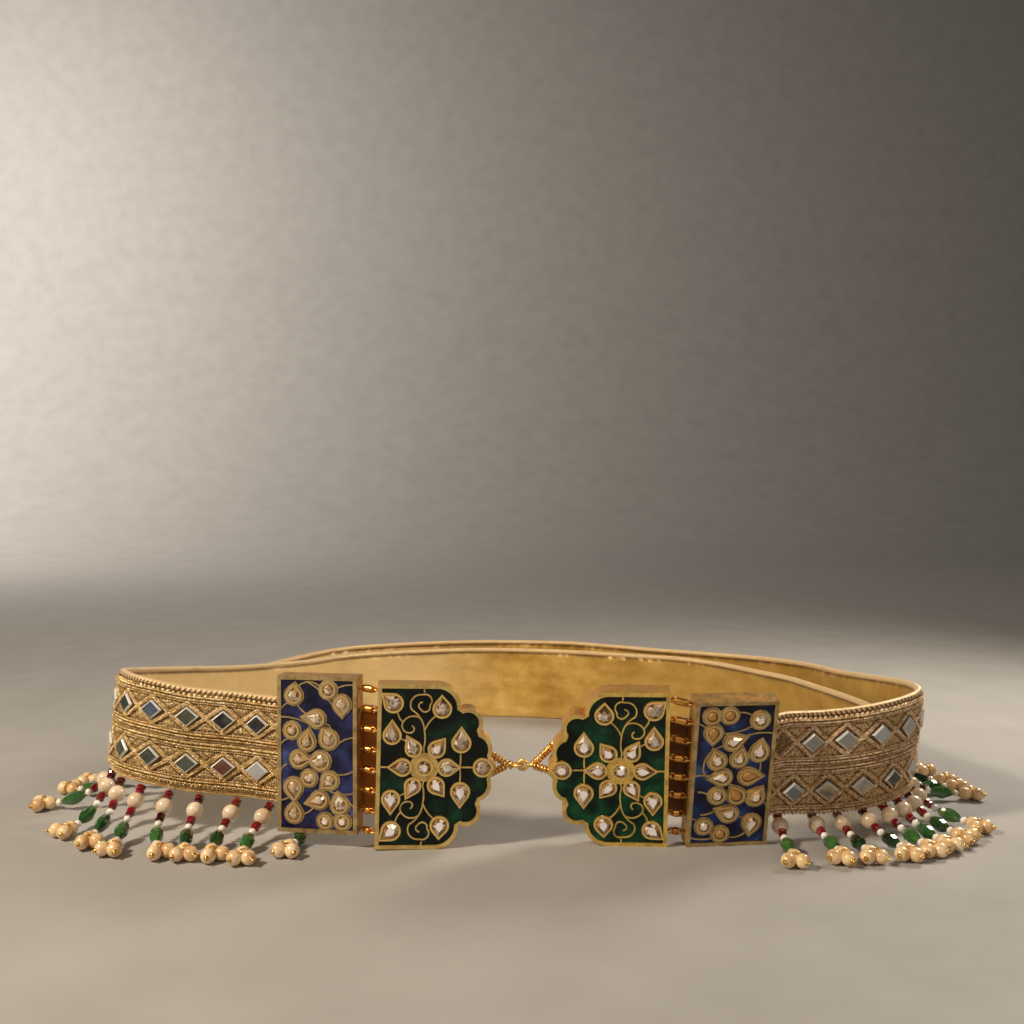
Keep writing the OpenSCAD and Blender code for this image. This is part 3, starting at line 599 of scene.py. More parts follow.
@dataclass(frozen=True)
class Enamel(Finish):
    """Glassy enamel: dark, with brighter pools and thin light streaks."""

    dark: Colour = (0.0, 0.0015, 0.001)
    body: Colour = (0.0, 0.006, 0.003)
    bright: Colour = (0.0, 0.026, 0.010)
    streak: Colour = (0.0, 0.07, 0.025)
    # Heights in metres over which the painted reflection fades from the bottom upwards.
    low: float = 0.0
    high: float = 0.06

    constants: ClassVar[Mapping[str, Any]] = {
        "Coat Roughness": 0.04, "IOR": 1.5, "Specular IOR Level": 0.2}

    def varied(self, graph: Graph) -> dict[str, Feed]:
        """Pools of colour, a painted reflection that makes it brighter low down, and an uneven glaze."""
        spot = graph.position()
        pools = graph.noise(spot, 120.0, 3.0, 0.55)
        height = graph.axis(spot, "Z")
        # Painted reflection: the enamel is lighter low down and darker high up.
        painted_low_reflection = graph.ease(height, self.low, self.high, 0.10, -0.07)
        base = graph.colours(pools + painted_low_reflection, ((0.36, self.dark), (0.52, self.body),
                                            (0.68, self.bright), (0.80, self.streak)))
        return {
            "Base Color": base,
            "Roughness": 0.10 + 0.16 * graph.noise(spot, 300.0),
            "Coat Weight": graph.ease(pools, 0.2, 0.8, 0.1, 0.3),
            "Normal": graph.bump(graph.noise(spot, 420.0, 2.0), 0.0002, 0.35),
        }


@dataclass(frozen=True)
class CutStone(Finish):
    """A foil-backed stone with painted reflections: a pale table, and facets painted with foil colour, painted
    sky, painted shade and painted glints.
    """

    facing: tuple[float, float, float] = (0.0, -1.0, 0.0)
    # The table colours are painted reflections, pale low down and darker high up; the facets carry painted
    # shade and painted glints.
    low_table_reflection: Colour = (0.93, 0.84, 0.82)
    high_table_reflection: Colour = (0.46, 0.36, 0.29)
    painted_shade: Colour = (0.10, 0.050, 0.02)
    foil: Colour = (0.55, 0.28, 0.07)
    pale_to: float = 0.020
    painted_glint: Colour = (0.98, 0.86, 0.68)
    empty: tuple[tuple[float, float, float], ...] = ()
    pitch: Colour = (0.42, 0.20, 0.03)
    setting: float = 0.0048

    # The emission is a painted glow on the lower tables.
    constants: ClassVar[Mapping[str, Any]] = {
        "IOR": 1.7, "Coat Weight": 0.6, "Coat Roughness": 0.02, "Metallic": 0.1,
        "Emission Strength": 0.12}

    def varied(self, graph: Graph) -> dict[str, Feed]:
        """A colour for each facet with painted shade and glints, a table with a painted reflection that is
        paler low down, a painted glow, and pitch where a stone is lost.
        """
        spot = graph.position()
        chance = graph.facet()
        # Painted reflections: each facet gets one of painted shade, foil colour, a darker painted reflection
        # or a painted glint.
        crown = graph.colours(chance, ((0.1, self.painted_shade), (0.4, self.foil),
                                       (0.7, self.high_table_reflection), (0.95, self.painted_glint)))
        front = graph.dot(graph.normal(), self.facing)
        height = graph.axis(spot, "Z")
        drift = graph.noise(spot, 90.0, 1.0) - 0.5
        # Painted reflection: tables low on the plate are pale and tables high up darker.
        upper = graph.ease(height + 0.06 * drift, self.pale_to, self.pale_to + 0.014)
        table = graph.blend(upper, self.low_table_reflection, self.high_table_reflection)
        # Painted reflection: dark streaks over the upper tables.
        painted_dark_streaks = graph.ease(graph.noise(spot, 700.0, 1.0), 0.48, 0.66, 0.0, 0.75)
        table = graph.blend(painted_dark_streaks * upper, table, self.painted_shade)
        # Painted glint on some tables.
        table = graph.blend(graph.ease(chance, 0.7, 0.9, 0.0, 0.5), table, self.painted_glint)
        flat = graph.ease(front, 0.93, 0.98)
        base = graph.blend(flat, crown, table)
        rough: Feed = 0.05 + 0.05 * graph.noise(spot, 500.0)
        for place in self.empty:
            away = graph.vector("DISTANCE", spot, tuple(x * MM for x in place), out="Value")
            lost = graph.ease(away, self.setting, self.setting + 0.0002, 1.0, 0.0)
            base = graph.blend(lost, base, self.pitch)
            rough = rough + 0.4 * lost
        # Painted glow: the lower tables shine faintly in their own colour.
        return {"Base Color": base, "Roughness": rough,
                "Emission Color": graph.blend(flat * (1.0 - upper), (0.0, 0.0, 0.0), base)}


@dataclass(frozen=True)
class Pearl(Finish):
    """A pearl's soft lustre."""

    shade: Colour = (0.66, 0.48, 0.29)
    body: Colour = (0.76, 0.59, 0.41)
    glow: Colour = (0.90, 0.76, 0.58)

    constants: ClassVar[Mapping[str, Any]] = {
        "Subsurface Weight": 0.12, "Subsurface Radius": (0.9, 0.55, 0.35),
        "Subsurface Scale": 0.0015, "Coat Roughness": 0.12}

    def varied(self, graph: Graph) -> dict[str, Feed]:
        """Clouded body colour and skin."""
        spot = graph.position()
        cloud = graph.noise(spot, 190.0, 2.0)
        return {
            "Base Color": graph.colours(cloud, ((0.3, self.shade), (0.5, self.body),
                                                (0.72, self.glow))),
            "Roughness": 0.18 + 0.16 * graph.noise(spot, 500.0),
            "Coat Weight": graph.ease(cloud, 0.2, 0.8, 0.5, 0.9),
            "Normal": graph.bump(graph.noise(spot, 350.0, 1.0), 0.0003, 0.3),
        }


@dataclass(frozen=True)
class Glass(Finish):
    """Coloured glass of a bead."""

    dark: Colour = (0.004, 0.05, 0.015)
    light: Colour = (0.03, 0.33, 0.07)
    clear: float = 0.5
    roughness: float = 0.06

    @property
    def constants(self) -> dict[str, Any]:
        """Clear and hard."""
        return {"Transmission Weight": self.clear, "IOR": 1.52, "Roughness": self.roughness,
                "Coat Weight": 0.8, "Coat Roughness": 0.03}

    def varied(self, graph: Graph) -> dict[str, Feed]:
        """Lighter and darker glass from bead to bead."""
        spot = graph.position()
        tone = graph.noise(spot, 160.0, 1.0) * 0.7 + 0.3 * graph.facet()
        return {"Base Color": graph.colours(tone, ((0.3, self.dark), (0.7, self.light)))}


@dataclass(frozen=True)
class MirrorGlass(Finish):
    """Silvered glass that carries the tone that it mirrors."""

    roughness: float = 0.03
    silver: float = 0.5

    @property
    def constants(self) -> dict[str, Any]:
        """Silvered."""
        return {"Metallic": self.silver, "Coat Weight": 0.3, "Coat Roughness": 0.02}

    def varied(self, graph: Graph) -> dict[str, Feed]:
        """The tone from the mesh, and faint wear of the silvering."""
        spot = graph.position()
        wear = graph.ease(graph.noise(spot, 240.0, 3.0), 0.35, 0.8, 0.0, 0.25)
        sight = graph.attribute("sight", "Color")
        return {
            "Base Color": graph.blend(wear, sight, (0.30, 0.29, 0.26)),
            "Roughness": self.roughness + 0.10 * graph.noise(spot, 400.0),
        }


@dataclass(frozen=True)
class LiningCloth(Finish):
    """Gold tissue: crossed threads with slubs, and a satin glow."""

    deep: Colour = (0.46, 0.26, 0.045)
    body: Colour = (0.66, 0.41, 0.09)
    light: Colour = (0.86, 0.58, 0.19)
    # Painted shade in the seam, and painted light and shade that change along x.
    seam_shade: Colour = (0.16, 0.08, 0.02)
    pale: Colour = (1.0, 0.75, 0.38)
    right_shade: Colour = (0.34, 0.19, 0.035)
    seam_shade_band: tuple[float, float] = (0.0372, 0.0383)

    constants: ClassVar[Mapping[str, Any]] = {
        "Sheen Weight": 0.25, "Sheen Roughness": 0.4, "Sheen Tint": (1.0, 0.8, 0.5, 1.0)}

    def varied(self, graph: Graph) -> dict[str, Feed]:
        """Weave, slubs, clouds, painted light that is pale at the left and painted shade that darkens it to
        the right, and painted shade in the seam under the piping.
        """
        flat = graph.cloth()
        weft = graph.noise(graph.stretch(flat, (1500.0, 110.0, 0.0)), 1.0, 2.0)
        warp = graph.noise(graph.stretch(flat, (110.0, 1500.0, 0.0)), 1.0, 2.0)
        cloud = graph.noise(flat, 42.0, 4.0, 0.6)
        patch = graph.noise(graph.stretch(flat, (70.0, 150.0, 0.0)), 1.0, 3.0)
        tone = 0.08 * weft + 0.08 * warp + 0.50 * cloud + 0.34 * patch
        thread = 0.5 * weft + 0.5 * warp
        rise = graph.axis(flat, "Y")
        # Painted shade in the crease of the seam under the piping.
        seam_shade = graph.ease(rise, *self.seam_shade_band, 0.0, 0.8)
        cloth = graph.colours(tone, ((0.38, self.deep), (0.5, self.body), (0.62, self.light)))
        along = graph.axis(graph.position(), "X")
        # Painted light at the left and painted shade towards the right, by the cloth's place along x.
        cloth = graph.blend(graph.ease(along, -0.07, 0.0, 0.7, 0.0), cloth, self.pale)
        cloth = graph.blend(graph.ease(along, -0.03, 0.14, 0.0, 0.6), cloth, self.right_shade)
        return {
            "Base Color": graph.blend(seam_shade, cloth, self.seam_shade),
            "Metallic": graph.ease(thread, 0.35, 0.65, 0.15, 0.4),
            "Roughness": 0.30 + 0.25 * graph.noise(flat, 300.0),
            "Normal": graph.bump(thread, 0.0003, 0.35),
        }


@dataclass(frozen=True)
class CordCloth(Finish):
    """Thread-wound cord: slanting windings, with painted light making it pale on top and painted shade below.
    """

    deep: Colour = (0.42, 0.25, 0.09)
    light: Colour = (0.80, 0.57, 0.29)
    # Painted shade in the slits between stitches.
    slit_shade: Colour = (0.085, 0.035, 0.012)
    windings: float = 1100.0
    slit_scale: float = 300.0
    slit_depth: float = 0.0
    # Heights of the change from painted shade below to painted light on top, and of the end of the painted
    # slits.
    crown_band: tuple[float, float] = (0.0383, 0.0396)
    slit_band: tuple[float, float] = (0.0402, 0.0406)

    constants: ClassVar[Mapping[str, Any]] = {"Sheen Weight": 0.3, "Sheen Roughness": 0.35}

    def varied(self, graph: Graph) -> dict[str, Feed]:
        """Slanting windings with uneven tone, painted shade on the cord's lower part, and painted shade in
        slits between stitches.
        """
        flat = graph.cloth()
        winding = graph.waves(graph.stretch(flat, (1.0, 0.7, 0.0)), self.windings, "DIAGONAL", 0.6)
        cloud = graph.noise(flat, 120.0, 3.0)
        rise = graph.axis(flat, "Y")
        # Painted shade below the cord's crown and painted light on top of it.
        crown = graph.ease(rise, *self.crown_band, -0.35, 0.1)
        tone = 0.16 * winding + 0.6 * cloud + crown
        stitch = graph.waves(graph.stretch(flat, (1.0, 0.6, 0.0)), self.slit_scale,
                             "DIAGONAL", 0.3)
        # Painted shade in the slanting slits between stitches, on the cord's lower part.
        slit_shade = graph.ease(stitch, 0.25, 0.5, self.slit_depth, 0.0)
        slit_shade = slit_shade * graph.ease(rise, *self.slit_band, 1.0, 0.0)
        satin = graph.colours(tone, ((0.0, self.deep), (0.5, self.light)))
        return {
            "Base Color": graph.blend(slit_shade, satin, self.slit_shade),
            "Metallic": graph.ease(cloud, 0.3, 0.7, 0.15, 0.35),
            "Roughness": 0.32 + 0.25 * cloud,
            "Normal": graph.bump(winding, 0.0002, 0.4),
        }


@dataclass(frozen=True)
class BraidGround(Finish):
    """Metal-thread ground of a trim: granular, with painted shade in the hollows of its relief and painted
    highlights on its crests.
    """

    # Painted shade for the hollows and painted highlight for the crests.
    hollow_shade: Colour = (0.070, 0.036, 0.012)
    body: Colour = (0.42, 0.265, 0.095)
    crest_highlight: Colour = (0.94, 0.74, 0.43)
    metal: float = 0.65

    def varied(self, graph: Graph) -> dict[str, Feed]:
        """Painted shade and highlight from the mesh's relief, and grains that catch the light as painted
        glints.
        """
        flat = graph.cloth()
        relief = graph.attribute("relief")
        grain = graph.cells(flat, 1500.0)
        fleck = graph.noise(flat, 900.0, 2.0, 0.6)
        cloud = graph.noise(flat, 70.0, 2.0)
        # Painted shade and highlight: low relief is coloured dark, high relief and flecks light.
        tone = relief * 0.7 + (0.6 - grain) * 0.4 + 0.9 * (fleck - 0.5) + 0.2 * (cloud - 0.5)
        return {
            "Base Color": graph.colours(tone, ((0.08, self.hollow_shade), (0.4, self.body),
                                               (0.8, self.crest_highlight))),
            "Metallic": graph.ease(tone, 0.1, 0.7, 0.2 * self.metal, self.metal),
            "Roughness": 0.28 + 0.3 * fleck,
            "Normal": graph.bump((0.7 - grain) + 0.5 * fleck, 0.0004, 0.8),
        }


@dataclass(frozen=True)
class BraidThread(Finish):
    """Metal-thread stitches and cords that lie on the trims."""

    deep: Colour = (0.34, 0.18, 0.05)
    body: Colour = (0.72, 0.49, 0.20)
    light: Colour = (0.98, 0.84, 0.56)
    metal: float = 0.7

    def varied(self, graph: Graph) -> dict[str, Feed]:
        """A tone for each stitch, with flecks."""
        spot = graph.position()
        chance = graph.facet()
        fleck = graph.noise(spot, 1100.0, 2.0)
        tone = 0.40 * chance + 0.45 * fleck + 0.3 * graph.noise(spot, 60.0, 2.0)
        return {
            "Base Color": graph.colours(tone, ((0.28, self.deep), (0.55, self.body),
                                               (0.85, self.light))),
            "Metallic": graph.ease(fleck, 0.3, 0.7, 0.5 * self.metal, self.metal),
            "Roughness": 0.24 + 0.25 * fleck,
            "Normal": graph.bump(graph.noise(spot, 2600.0, 1.0), 0.0003, 0.5),
        }


@dataclass(frozen=True)
class TwistedThread(Finish):
    """Plain sewing thread."""

    shade: Colour = (0.45, 0.36, 0.22)
    light: Colour = (0.82, 0.74, 0.58)

    def varied(self, graph: Graph) -> dict[str, Feed]:
        """Fine twist."""
        spot = graph.position()
        twist = graph.waves(spot, 900.0, "DIAGONAL", 1.0)
        return {
            "Base Color": graph.colours(twist, ((0.2, self.shade), (0.8, self.light))),
            "Roughness": 0.55 + 0.2 * graph.noise(spot, 300.0),
            "Normal": graph.bump(twist, 0.0001, 0.5),
        }


@dataclass(frozen=True)
class StudioFloor(Finish):
    """Plain pale floor and backdrop with the faintest tooth."""

    low: Colour = (0.355, 0.34, 0.32)
    high: Colour = (0.395, 0.38, 0.36)

    def varied(self, graph: Graph) -> dict[str, Feed]:
        """Faint clouds and a fine tooth."""
        spot = graph.position()
        return {
            "Base Color": graph.colours(graph.noise(spot, 25.0, 4.0), ((0.3, self.low),
                                                                       (0.7, self.high))),
            "Roughness": 0.62 + 0.2 * graph.noise(spot, 60.0),
            "Normal": graph.bump(graph.noise(spot, 700.0, 2.0), 0.0003, 0.25),
        }


LINING = LiningCloth("gold_tissue_lining")
# The band's front behind the plates: its own copper-brown, darkened with painted shade from the plates.
BACKING_AND_SHADE = LiningCloth("copper_backing", deep=(0.12, 0.040, 0.010), body=(0.24, 0.085, 0.020),
                      light=(0.40, 0.17, 0.04), seam_shade=(0.06, 0.024, 0.010),
                      pale=(0.78, 0.36, 0.08), right_shade=(0.08, 0.026, 0.008))
PIPING = CordCloth("pale_gold_piping")
PIPING_FRONT = CordCloth("stitched_piping", slit_depth=0.9)
BRAID_LEFT = BraidGround("braid_ground_left")
# The right side's braid and stitches are coloured lighter than the left's: painted light for the weaker lamp
# light on that side.
BRAID_RIGHT = BraidGround("braid_ground_right", hollow_shade=(0.09, 0.042, 0.015),
                          body=(0.56, 0.35, 0.14), crest_highlight=(0.94, 0.74, 0.47), metal=0.25)
STITCH_LEFT = BraidThread("braid_thread_left")
STITCH_RIGHT = BraidThread("braid_thread_right", deep=(0.34, 0.18, 0.07),
                           body=(0.80, 0.53, 0.28), light=(0.99, 0.86, 0.66), metal=0.25)
MIRROR = MirrorGlass("mirror_centre")
MIRROR_EDGE = MirrorGlass("mirror_bevel", roughness=0.09, silver=0.3)
WIRE = Gilding("gilt_wire", pale=(0.96, 0.62, 0.20), deep=(0.62, 0.31, 0.07), polish=0.2)
LINK_GOLD = Gilding("copper_gold_beads", pale=(0.95, 0.50, 0.13), deep=(0.45, 0.16, 0.03),
                    polish=0.2, grain=900.0)
IVORY_PEARL = Pearl("ivory_pearl")
CREAM_PEARL = Pearl("cream_pearl", shade=(0.60, 0.34, 0.13), body=(0.84, 0.58, 0.30),
                    glow=(0.96, 0.77, 0.50))
SEED = Pearl("white_seed", shade=(0.80, 0.68, 0.58), body=(0.93, 0.85, 0.76),
             glow=(0.98, 0.93, 0.87))
RUBY = Glass("ruby_bead", dark=(0.05, 0.0, 0.001), light=(0.34, 0.006, 0.012), clear=0.15)
BOTTLE_GREEN = Glass("green_drop", dark=(0.002, 0.018, 0.005), light=(0.07, 0.22, 0.05),
                     clear=0.35)
THREAD = TwistedThread("fringe_thread")
FLOOR = StudioFloor("studio_floor")


# Meshes


def add_object(name: str, data: Any) -> bpy.types.Object:
    """Links a new object into the scene."""
    made = bpy.data.objects.new(name, data)
    bpy.context.scene.collection.objects.link(made)
    return made


def make_object(name: str, points: np.ndarray, faces: Sequence[Sequence[int]],
                finishes: Sequence[Finish], smooth: bool = True) -> bpy.types.Object:
    """Makes a mesh object from points in millimetres.

    Args:
        name: The piece's name.
        points: Points in the frame.
        faces: Corners of each face.
        finishes: Its finishes, in the order of the faces' material numbers.
        smooth: Whether its faces shade smoothly.

    Returns:
        The object, at the origin and linked into the scene.
    """
    mesh = bpy.data.meshes.new(name)
    mesh.from_pydata((np.asarray(points) * MM).tolist(), [], [list(f) for f in faces])
    mesh.polygons.foreach_set("use_smooth", [smooth] * len(mesh.polygons))
    for finish in finishes:
        mesh.materials.append(finish.material())
    mesh.update()
    return add_object(name, mesh)


def face_outwards(piece: bpy.types.Object) -> None:
    """Turns the faces of a closed mesh outwards."""
    work = bmesh.new()
    work.from_mesh(piece.data)
    bmesh.ops.recalc_face_normals(work, faces=work.faces)
    work.to_mesh(piece.data)
    work.free()


def give_cloth_map(piece: bpy.types.Object, along: np.ndarray, up: np.ndarray) -> None:
    """Gives a mesh its cloth map, from a distance and a height in millimetres per point."""
    corners = np.zeros(len(piece.data.loops), int)
    piece.data.loops.foreach_get("vertex_index", corners)
    layer = piece.data.uv_layers.new(name=CLOTH_UV)
    values = np.stack([along[corners], up[corners]], -1) * MM
    layer.data.foreach_set("uv", values.astype(np.float32).ravel())


def give_values(mesh: bpy.types.Mesh, name: str, kind: str, values: Any) -> None:
    """Gives a mesh one number, vector or colour for each point, by the kind of attribute."""
    layer = mesh.attributes.new(name, kind, "POINT")
    key = {"FLOAT": "value", "FLOAT_VECTOR": "vector", "FLOAT_COLOR": "color"}[kind]
    layer.data.foreach_set(key, np.asarray(values, np.float32).ravel())


def gathered(parts: Sequence[tuple[np.ndarray, list]]) -> tuple[np.ndarray, list]:
    """Several meshes as one, from the points and faces of each."""
    faces = []
    start = 0
    for points, own in parts:
        faces += [tuple(start + i for i in face) for face in own]
        start += len(points)
    return np.concatenate([points for points, _ in parts]), faces


def tube_faces(rings: int, corners: int) -> list[tuple[int, ...]]:
    """Faces of a closed swept form: its sides, and ends that zip across.

    Args:
        rings: Number of rings.
        corners: Corners of each ring.

    Returns:
        The faces' corners.
    """
    faces: list[tuple[int, ...]] = []
    for i in range(rings - 1):
        for k in range(corners):
            a, b = i * corners + k, i * corners + (k + 1) % corners
            faces.append((a, b, b + corners, a + corners))
    for start in (0, (rings - 1) * corners):
        for k in range(1, (corners + 1) // 2):
            near = [start + k - 1, start + k]
            far = [start + corners - k - 1, start + (corners - k) % corners]
            if near[1] == far[0]:
                faces.append((near[0], near[1], far[1]))
            elif near[0] == far[1]:
                faces.append((near[0], near[1], far[0]))
            else:
                faces.append((near[0], near[1], far[0], far[1]))
    return faces


def lathe(profile: Sequence[tuple[float, float]], sides: int) -> tuple[np.ndarray, list]:
    """A turned form about z, from (radius, height) pairs that start and end on the axis.

    Args:
        profile: The outline from its foot to its top.
        sides: Number of sides.

    Returns:
        Points and faces.
    """
    points = [(0.0, 0.0, profile[0][1])]
    middle = profile[1:-1]
    for radius, height in middle:
        for k in range(sides):
            a = 2 * math.pi * k / sides
            points.append((radius * math.cos(a), radius * math.sin(a), height))
    points.append((0.0, 0.0, profile[-1][1]))
    faces: list[tuple[int, ...]] = []
    last = len(points) - 1
    for k in range(sides):
        nxt = (k + 1) % sides
        faces.append((0, 1 + nxt, 1 + k))
        for i in range(len(middle) - 1):
            a, b = 1 + i * sides + k, 1 + i * sides + nxt
            faces.append((a, b, b + sides, a + sides))
        top = 1 + (len(middle) - 1) * sides
        faces.append((top + k, top + nxt, last))
    return np.array(points), faces


# Geometry Nodes


class NodeRecipe:
    """A Geometry Nodes tree with named inputs, applied to a guide mesh."""

    def __init__(self, name: str, inputs: Mapping[str, str]) -> None:
        """Makes the tree with its inputs.

        Args:
            name: The tree's name.
            inputs: The type of socket of each input, by name.
        """
        self.tree = bpy.data.node_groups.new(name, "GeometryNodeTree")
        face = self.tree.interface
        face.new_socket(name="Geometry", in_out="INPUT", socket_type="NodeSocketGeometry")
        face.new_socket(name="Geometry", in_out="OUTPUT", socket_type="NodeSocketGeometry")
        self.identifiers = {
            label: face.new_socket(name=label, in_out="INPUT", socket_type=kind).identifier
            for label, kind in {**inputs, "Finish": "NodeSocketMaterial"}.items()
        }
        self.graph = Graph(self.tree)
        self.entry = self.graph.node("NodeGroupInput")
        self.exit = self.graph.node("NodeGroupOutput")

    def given(self, name: str) -> Signal:
        """One of the tree's inputs."""
        return self.graph.out(self.entry, name)

    def carried(self, name: str, kind: str) -> Signal:
        """An attribute that the guide's points carry."""
        return self.graph.out(self.graph.node("GeometryNodeInputNamedAttribute",
                                              {"data_type": kind}, {"Name": name}), "Attribute")

    def chance(self, low: Feed, high: Feed, offset: int = 0) -> Signal:
        """A random number for each point, from the tree's seed."""
        feeds = {"Min": low, "Max": high, "Seed": self.given("Seed") + offset}
        return self.graph.out(self.graph.node("FunctionNodeRandomValue",
                                              {"data_type": "FLOAT"}, feeds), "Value")

    def even_line(self, step: Signal) -> Signal:
        """The guide's lines as curves, with their points at even steps."""
        curve = self.graph.first("GeometryNodeMeshToCurve", None,
                                 {"Mesh": self.given("Geometry")})
        return self.graph.first("GeometryNodeResampleCurve", {"mode": "LENGTH"},
                                {"Curve": curve, "Length": step})

    def turned(self, rotation: Signal, angle: Signal) -> Signal:
        """A rotation, turned further about its own z axis."""
        twist = self.graph.first("FunctionNodeAxisAngleToRotation", None,
                                 {"Axis": (0, 0, 1), "Angle": angle})
        return self.graph.first("FunctionNodeRotateRotation", {"rotation_space": "LOCAL"},
                                {"Rotation": rotation, "Rotate By": twist})

    def copies(self, points: Signal, shape: Signal, rotation: Signal, scale: Signal) -> Signal:
        """A copy of a shape on each point."""
        return self.graph.first("GeometryNodeInstanceOnPoints", None,
                                {"Points": points, "Instance": shape, "Rotation": rotation,
                                 "Scale": scale})

    def close(self, instances: Signal, smooth: bool) -> None:
        """Ends the tree: instances made real, their shading and their finish."""
        g = self.graph
        real = g.first("GeometryNodeRealizeInstances", None, {0: instances})
        shade = g.first("GeometryNodeSetShadeSmooth", None, {0: real, "Shade Smooth": smooth})
        g.feed(self.exit.inputs[0], g.first("GeometryNodeSetMaterial", None,
                                            {0: shade, "Material": self.given("Finish")}))

    def grow(self, guide: bpy.types.Object, finish: Finish,
             values: Mapping[str, Any]) -> bpy.types.Object:
        """Runs the tree on a guide and keeps the result as the guide's plain mesh.

        Args:
            guide: The object that holds the guide points or lines.
            finish: The finish of what grows.
            values: A value for each named input.

        Returns:
            The guide object, which now holds the result.
        """
        modifier = guide.modifiers.new(self.tree.name, "NODES")
        modifier.node_group = self.tree
        for label, value in {**values, "Finish": finish.material()}.items():
            modifier[self.identifiers[label]] = value
        guide.update_tag()
        graph = bpy.context.evaluated_depsgraph_get()
        mesh = bpy.data.meshes.new_from_object(guide.evaluated_get(graph))
        mesh.name = guide.name
        guide.modifiers.remove(modifier)
        guide.data = mesh
        return guide


def make_guide(name: str, points: np.ndarray, edges: Sequence[tuple[int, int]],
               vectors: Mapping[str, np.ndarray]) -> bpy.types.Object:
    """A guide of points and edges only, which carries vectors.

    Args:
        name: The piece's name.
        points: Its points, in millimetres.
        edges: Pairs of neighbouring points.
        vectors: A vector for each point, by the name of each attribute.

    Returns:
        The object, linked into the scene.
    """
    mesh = bpy.data.meshes.new(name)
    mesh.from_pydata((points * MM).tolist(), edges, [])
    for label, values in vectors.items():
        give_values(mesh, label, "FLOAT_VECTOR", values)
    return add_object(name, mesh)


def guide_lines(name: str, lines: Sequence[np.ndarray],
                outward: Sequence[np.ndarray]) -> bpy.types.Object:
    """Guide lines, with the unit direction that each of their points faces."""
    edges = []
    start = 0
    for line in lines:
        edges += [(start + i, start + i + 1) for i in range(len(line) - 1)]
        start += len(line)
    return make_guide(name, np.concatenate(lines), edges, {"outward": np.concatenate(outward)})


def grain_rows() -> NodeRecipe:
    """Oval grains in a row: stitches, slanting cord windings or small beads.

    Returns:
        The recipe, whose inputs are Pitch, Along, Across, Proud, Wobble and Seed.
    """
    floats = ("Pitch", "Along", "Across", "Proud", "Wobble")
    recipe = NodeRecipe("grain_rows", {**{n: "NodeSocketFloat" for n in floats},
                                       "Seed": "NodeSocketInt"})
    g = recipe.graph
    lie = g.first("FunctionNodeAlignRotationToVector", {"axis": "X"},
                  {"Vector": g.first("GeometryNodeInputTangent")})
    stand = g.first("FunctionNodeAlignRotationToVector", {"axis": "Z", "pivot_axis": "X"},
                    {"Rotation": lie, "Vector": recipe.carried("outward", "FLOAT_VECTOR")})
    slant = recipe.carried("slant", "FLOAT") + recipe.chance(-0.12, 0.12, 3)
    size = recipe.chance(1.0 - recipe.given("Wobble"), 1.0 + recipe.given("Wobble"))
    sizes = {axis: recipe.given(name) * size for axis, name in zip("XYZ", floats[1:])}
    grain = g.first("GeometryNodeMeshUVSphere", None, {"Segments": 6, "Rings": 3, "Radius": 0.5})
    recipe.close(recipe.copies(recipe.even_line(recipe.given("Pitch")), grain,
                               recipe.turned(stand, slant),
                               g.first("ShaderNodeCombineXYZ", None, sizes)), True)
    return recipe


def strung_beads(smooth: bool) -> NodeRecipe:
    """One bead on each guide point, turned to the thread and sized by the point.

    Args:
        smooth: Whether the beads shade smoothly.

    Returns:
        The recipe, whose inputs are Bead, Twist and Seed.
    """
    name = "smooth_beads" if smooth else "faceted_beads"
    recipe = NodeRecipe(name, {"Bead": "NodeSocketObject", "Twist": "NodeSocketFloat",
                               "Seed": "NodeSocketInt"})
    g = recipe.graph
    bead = g.node("GeometryNodeObjectInfo", {"transform_space": "ORIGINAL"},
                  {"Object": recipe.given("Bead")})
    lie = g.first("FunctionNodeAlignRotationToVector", {"axis": "Z"},
                  {"Vector": recipe.carried("outward", "FLOAT_VECTOR")})
    turned = recipe.turned(lie, recipe.chance(0.0, recipe.given("Twist")))
    recipe.close(recipe.copies(recipe.given("Geometry"), g.out(bead, "Geometry"), turned,
                               recipe.carried("size", "FLOAT_VECTOR")), smooth)
    return recipe


def wound_wire() -> NodeRecipe:
    """A wire wound in a coil round each guide line.

    Returns:
        The recipe, whose inputs are Coil, Gauge and Pitch.
    """
    recipe = NodeRecipe("wound_wire", {n: "NodeSocketFloat" for n in ("Coil", "Gauge", "Pitch")})
    g = recipe.graph
    even = recipe.even_line(recipe.given("Pitch") * 0.1)
    run = g.out(g.node("GeometryNodeSplineParameter"), "Length")
    angle = g.calculate("DIVIDE", run, recipe.given("Pitch")) * (2 * math.pi)
    arm = g.first("ShaderNodeVectorRotate", {"rotation_type": "AXIS_ANGLE"},
                  {"Vector": recipe.carried("outward", "FLOAT_VECTOR"),
                   "Axis": g.first("GeometryNodeInputTangent"), "Angle": angle})
    offset = g.first("ShaderNodeVectorMath", {"operation": "SCALE"},
                     {0: arm, "Scale": recipe.given("Coil")})
    coil = g.first("GeometryNodeSetPosition", None, {"Geometry": even, "Offset": offset})
    ring = g.first("GeometryNodeCurvePrimitiveCircle", {"mode": "RADIUS"},
                   {"Resolution": 6, "Radius": recipe.given("Gauge")})
    recipe.close(g.first("GeometryNodeCurveToMesh", None,
                         {"Curve": coil, "Profile Curve": ring, "Fill Caps": True}), True)
    return recipe


# Sub-assemblies


